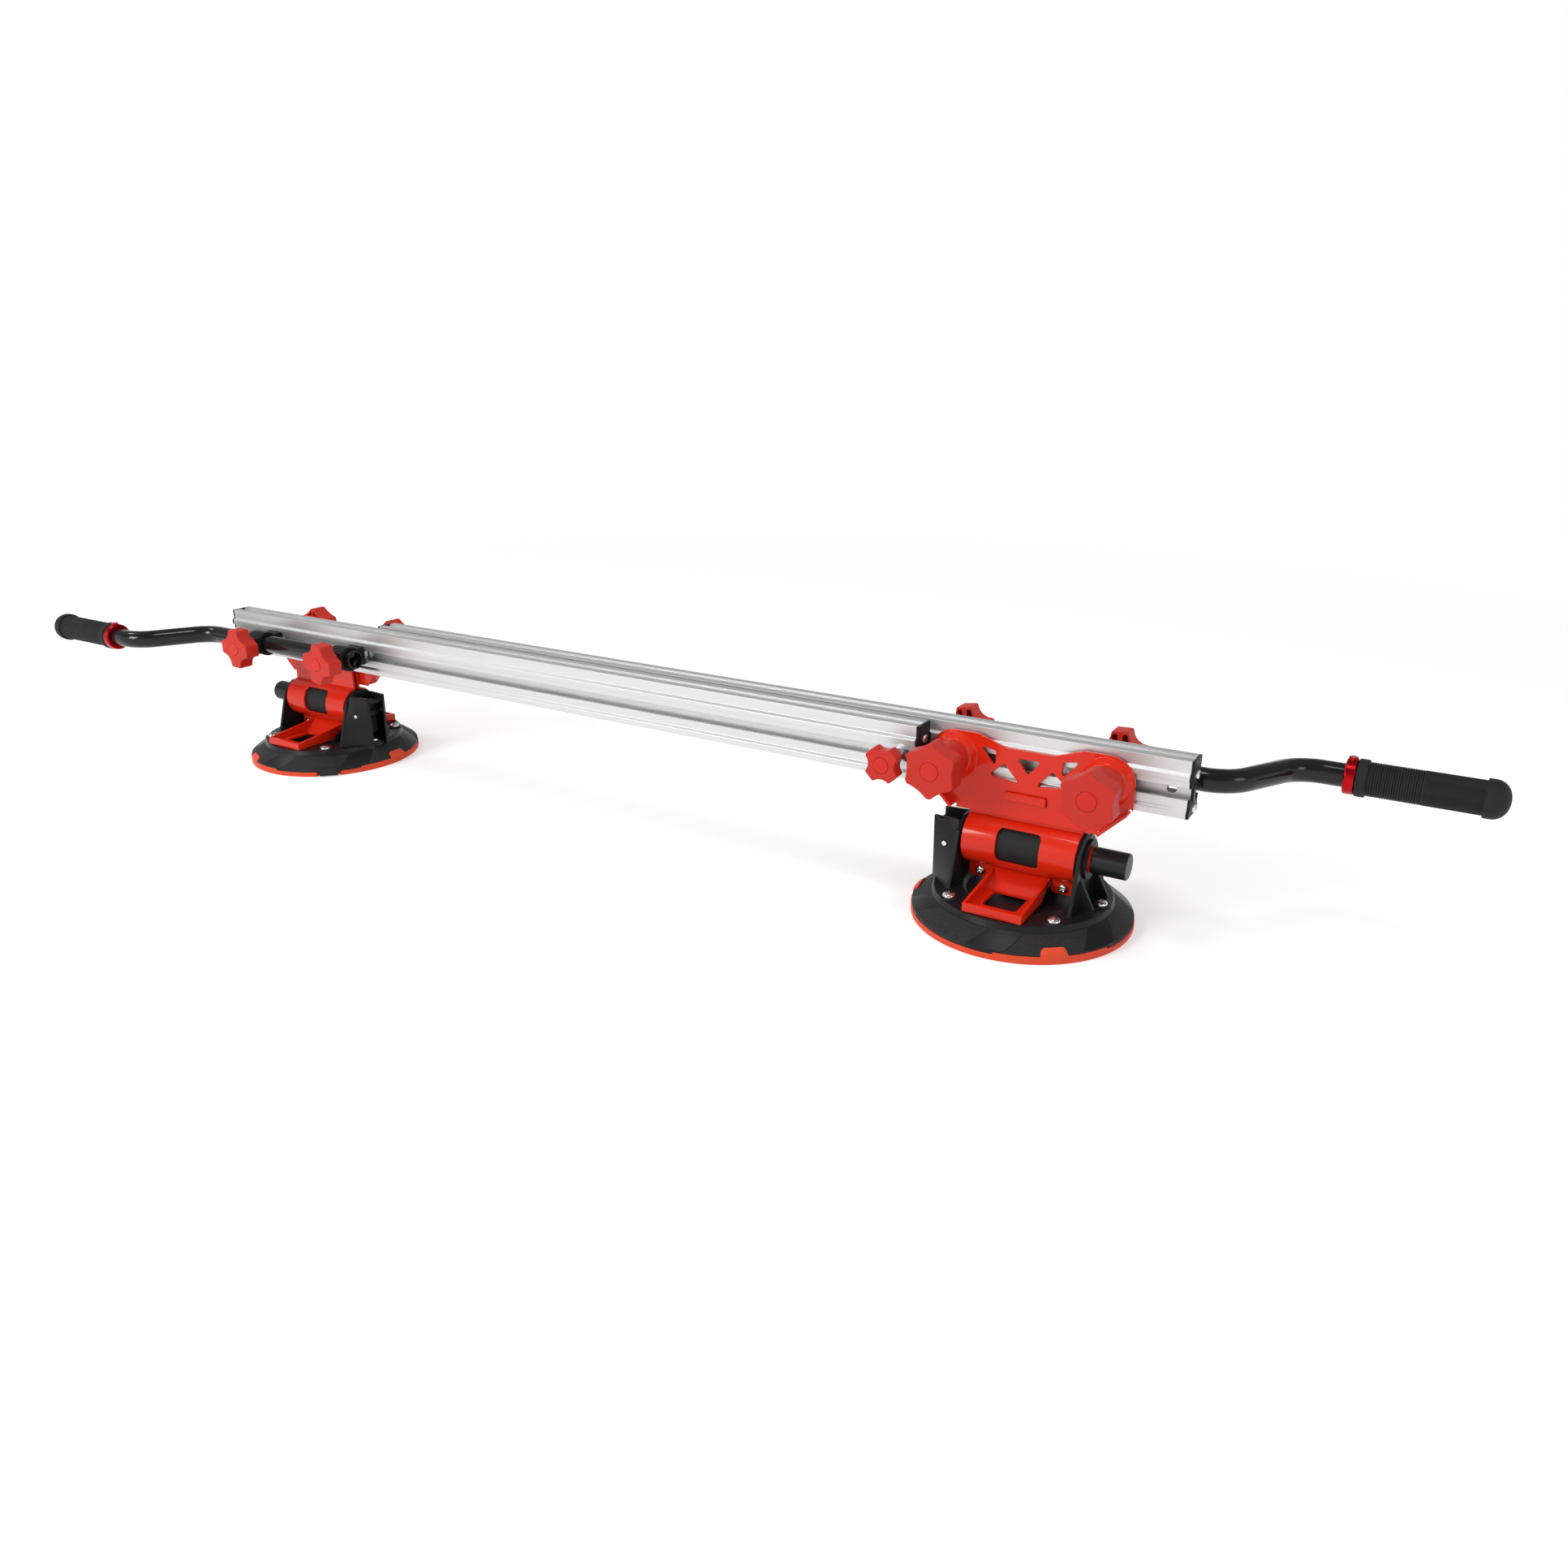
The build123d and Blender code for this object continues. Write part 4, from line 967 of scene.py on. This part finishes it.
# Grip: a moulded black rubber sleeve pushed onto the tube, with rings at its root and a herringbone beyond.
# A red anodised lock ring clamps it at the root, and a domed rubber cap closes the tube's end.
# The ring's small boss holds a set screw.
grip_low, grip_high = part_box("right_handle_grip")
grip_middle = (grip_low + grip_high) / 2
grip_length = grip_high.x - grip_low.x
grip_bore = 0.01105
grip_radius = 0.0155
flange_radius = (grip_high.z - grip_low.z) / 2
flange_width = 0.009
flange_ease = 0.0011
rib_zone = 0.0537
rib_pitch = 0.00203
rib_depth = 0.0007
bone_pitch = 0.0021
bone_depth = 0.0007
bone_points = 4
bone_slant = 4.5
bone_fade = 0.0015
groove_half = 0.24
grip_steps = 208
grip_rows = 430
ring_edge = 0.0004
cap_skirt = 0.006
cap_steps = 18
cap_round = 0.0010
cap_dome = 0.9
plug_radius = 0.00915


def ridge(share):
    """A rounded ridge with a narrow groove at its two sides, over one pitch."""
    groove = max(0.0, 1 - abs(share - 0.5) / groove_half)
    return 1 - groove * groove * (3 - 2 * groove)


def grip_radius_at(along, turn):
    """Radius of the grip's outside at a distance from its root and an angle round it."""
    if along < flange_width:
        edge = max(0.0, min(1.0, along / flange_ease, (flange_width - along) / flange_ease))
        return grip_radius + (flange_radius - grip_radius) * (1 - (1 - edge) ** 2) ** 0.5
    if along < rib_zone:
        return grip_radius - rib_depth * (1 - ridge((along - flange_width) / rib_pitch % 1))
    fold = abs(turn * bone_points / (2 * pi) % 1 - 0.5) * 2
    fade = min(1.0, (along - rib_zone) / bone_fade, (grip_length - along) / bone_fade)
    share = ((along - rib_zone) / bone_pitch + fold * bone_slant) % 1
    return grip_radius - bone_depth * fade * (1 - ridge(share))


grip_sections = []
for step in range(grip_steps):
    turn = 2 * pi * step / grip_steps
    section = [(-grip_length / 2, grip_bore)]
    for row in range(grip_rows + 1):
        along = grip_length * row / grip_rows
        section.append((along - grip_length / 2, grip_radius_at(along, turn)))
    section += [(grip_length / 2, grip_bore), (-grip_length / 2, grip_bore)]
    grip_sections.append([(x, r * cos(turn), r * sin(turn)) for x, r in section])
grip = ring_mesh("handle_grip", grip_sections)
show("handle_grip", grip, black_rubber, "handle", grip_middle)
ring_red = moulded(
    "red_anodised_ring", (0.38, 0.006, 0.010, 1), (0.47, 0.010, 0.013, 1),
    smooth=0.20, rough=0.30, size=0.0010, depth=0.00002, metallic=1.0,
)
ring = eased("grip_lock_ring", (ring_edge, edge_steps, anywhere))
show("grip_lock_ring", ring, ring_red, "handle")
cap_low, cap_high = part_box("right_grip_end_cap")
cap_middle = Vector((grip_high.x, grip_middle.y, grip_middle.z))
cap_radius = (cap_high.z - cap_low.z) / 2
cap_reach = cap_high.x - grip_high.x
cap_plug = grip_high.x - cap_low.x
profile = [(-cap_plug, 0), (-cap_plug, plug_radius), (0, plug_radius), (0, cap_radius - cap_round)]
profile += [
    (cap_round * round_share, cap_radius - cap_round * round_share), (cap_round, cap_radius),
]
for step in range(cap_steps + 1):
    turn = pi / 2 * step / cap_steps
    dome = cap_radius * max(0.0, cos(turn)) ** cap_dome
    profile.append((cap_skirt + (cap_reach - cap_skirt) * sin(turn), dome))
cap = lathe_x("grip_end_cap", profile, turned_steps)
show("grip_end_cap", cap, black_rubber, "handle", cap_middle)


# Studio: a wide pale floor under four soft lights, on a white background with a darker ceiling in mirrors.
# The floor takes the object's shadow and runs out to plain white round it.
# The camera stands where the photograph's did, to the right of the middle and a little above the rails.
floor_size = 30.0
floor_colour = (0.85, 0.85, 0.85, 1)
floor_lift = 0.30
white_from = 1.1
white_to = 2.4
sky_on_object = 0.62
ceiling = 0.30
ceiling_from = 0.18
ceiling_to = 0.48
camera_place = Vector((0.8351, -1.0156, 0.5169))
camera_aim = Vector((0.3197, -0.1690, 0.1552))
image_side = 1932
focal_pixels = 1502.3
sensor = 36.0
light_aim = (0, 0, 0.1)
side_aim = (0.3, 0, 0.1)


def seen_directly(tree):
    """One for rays from the camera, and for mirror and glass rays, so that metal shows the background."""
    ray = add(tree, "LightPath")
    first = {0: ray.outputs["Is Camera Ray"], 1: ray.outputs["Is Glossy Ray"]}
    seen = add(tree, "Math", first, operation="MAXIMUM")
    second = {0: seen.outputs["Value"], 1: ray.outputs["Is Transmission Ray"]}
    return add(tree, "Math", second, operation="MAXIMUM").outputs["Value"]


floor_mesh = bpy.data.meshes.new("floor")
half = floor_size / 2
floor_corners = [(-half, -half, 0), (half, -half, 0), (half, half, 0), (-half, half, 0)]
floor_mesh.from_pydata(floor_corners, [], [(0, 1, 2, 3)])
floor = bpy.data.objects.new("floor", floor_mesh)
bpy.context.scene.collection.objects.link(floor)
floor_paint, tree, shader = finish(
    "pale_floor", base_color=floor_colour, roughness=0.9, specular_ior_level=0.1
)
away = add(tree, "VectorMath", {0: add(tree, "TexCoord").outputs["Object"]}, operation="LENGTH")
far = add(tree, "MapRange", {
    "Value": away.outputs["Value"], "From Min": white_from, "From Max": white_to,
}, interpolation_type="SMOOTHSTEP")
direct = seen_directly(tree)
lift = add(tree, "Math", {0: direct, 1: floor_lift}, operation="MULTIPLY")
near_glow = add(tree, "Emission", {"Color": (1, 1, 1, 1), "Strength": lift.outputs["Value"]})
near = add(tree, "AddShader", {0: shader.outputs["BSDF"], 1: near_glow.outputs["Emission"]})
white = add(tree, "Emission", {"Color": (1, 1, 1, 1), "Strength": 1.0})
far_seen = add(tree, "Math", {0: direct, 1: far.outputs["Result"]}, operation="MULTIPLY")
mixed = add(tree, "MixShader", {
    0: far_seen.outputs["Value"], 1: near.outputs["Shader"], 2: white.outputs["Emission"],
})
tree.links.new(mixed.outputs["Shader"], tree.nodes["Material Output"].inputs["Surface"])
floor_mesh.materials.append(floor_paint)

world = bpy.data.worlds.new("studio")
bpy.context.scene.world = world
world.use_nodes = True
tree = world.node_tree
background = tree.nodes["Background"]
up = add(tree, "SeparateXYZ", {"Vector": add(tree, "TexCoord").outputs["Generated"]})
backdrop = add(tree, "MapRange", {
    "Value": up.outputs["Z"], "From Min": ceiling_from, "From Max": ceiling_to,
    "To Min": 1.0, "To Max": ceiling,
}, interpolation_type="SMOOTHSTEP")
mirrored = add(tree, "MapRange", {
    "Value": seen_directly(tree), "To Min": sky_on_object, "To Max": backdrop.outputs["Result"],
})
strength = add(tree, "Math", {
    0: mirrored.outputs["Result"], 1: add(tree, "LightPath").outputs["Is Camera Ray"],
}, operation="MAXIMUM")
tree.links.new(strength.outputs["Value"], background.inputs["Strength"])
background.inputs["Color"].default_value = (1, 1, 1, 1)


def soft_light(name, place, aim, size, power):
    """A square soft box."""
    lamp = bpy.data.lights.new(name, "AREA")
    lamp.shape = "SQUARE"
    lamp.size = size
    lamp.energy = power
    box = bpy.data.objects.new(name, lamp)
    bpy.context.scene.collection.objects.link(box)
    box.location = place
    box.rotation_euler = (Vector(aim) - Vector(place)).to_track_quat("-Z", "Y").to_euler()


soft_light("top_light", (0.2, -0.4, 2.4), light_aim, size=0.6, power=9)
soft_light("left_light", (-2.2, -0.5, 2.2), light_aim, size=0.35, power=6)
soft_light("front_light", (-1.2, -2.6, 1.6), light_aim, size=1.0, power=46)
soft_light("side_light", (2.6, -0.6, 1.3), side_aim, size=0.8, power=7)

lens = bpy.data.cameras.new("camera")
lens.sensor_fit = "HORIZONTAL"
lens.sensor_width = sensor
lens.lens = focal_pixels / image_side * sensor
camera = bpy.data.objects.new("camera", lens)
bpy.context.scene.collection.objects.link(camera)
camera.location = camera_place
camera.rotation_euler = (camera_aim - camera_place).to_track_quat("-Z", "Y").to_euler()
bpy.context.scene.camera = camera
bpy.context.scene.view_settings.view_transform = "Standard"

bpy.context.view_layer.update()
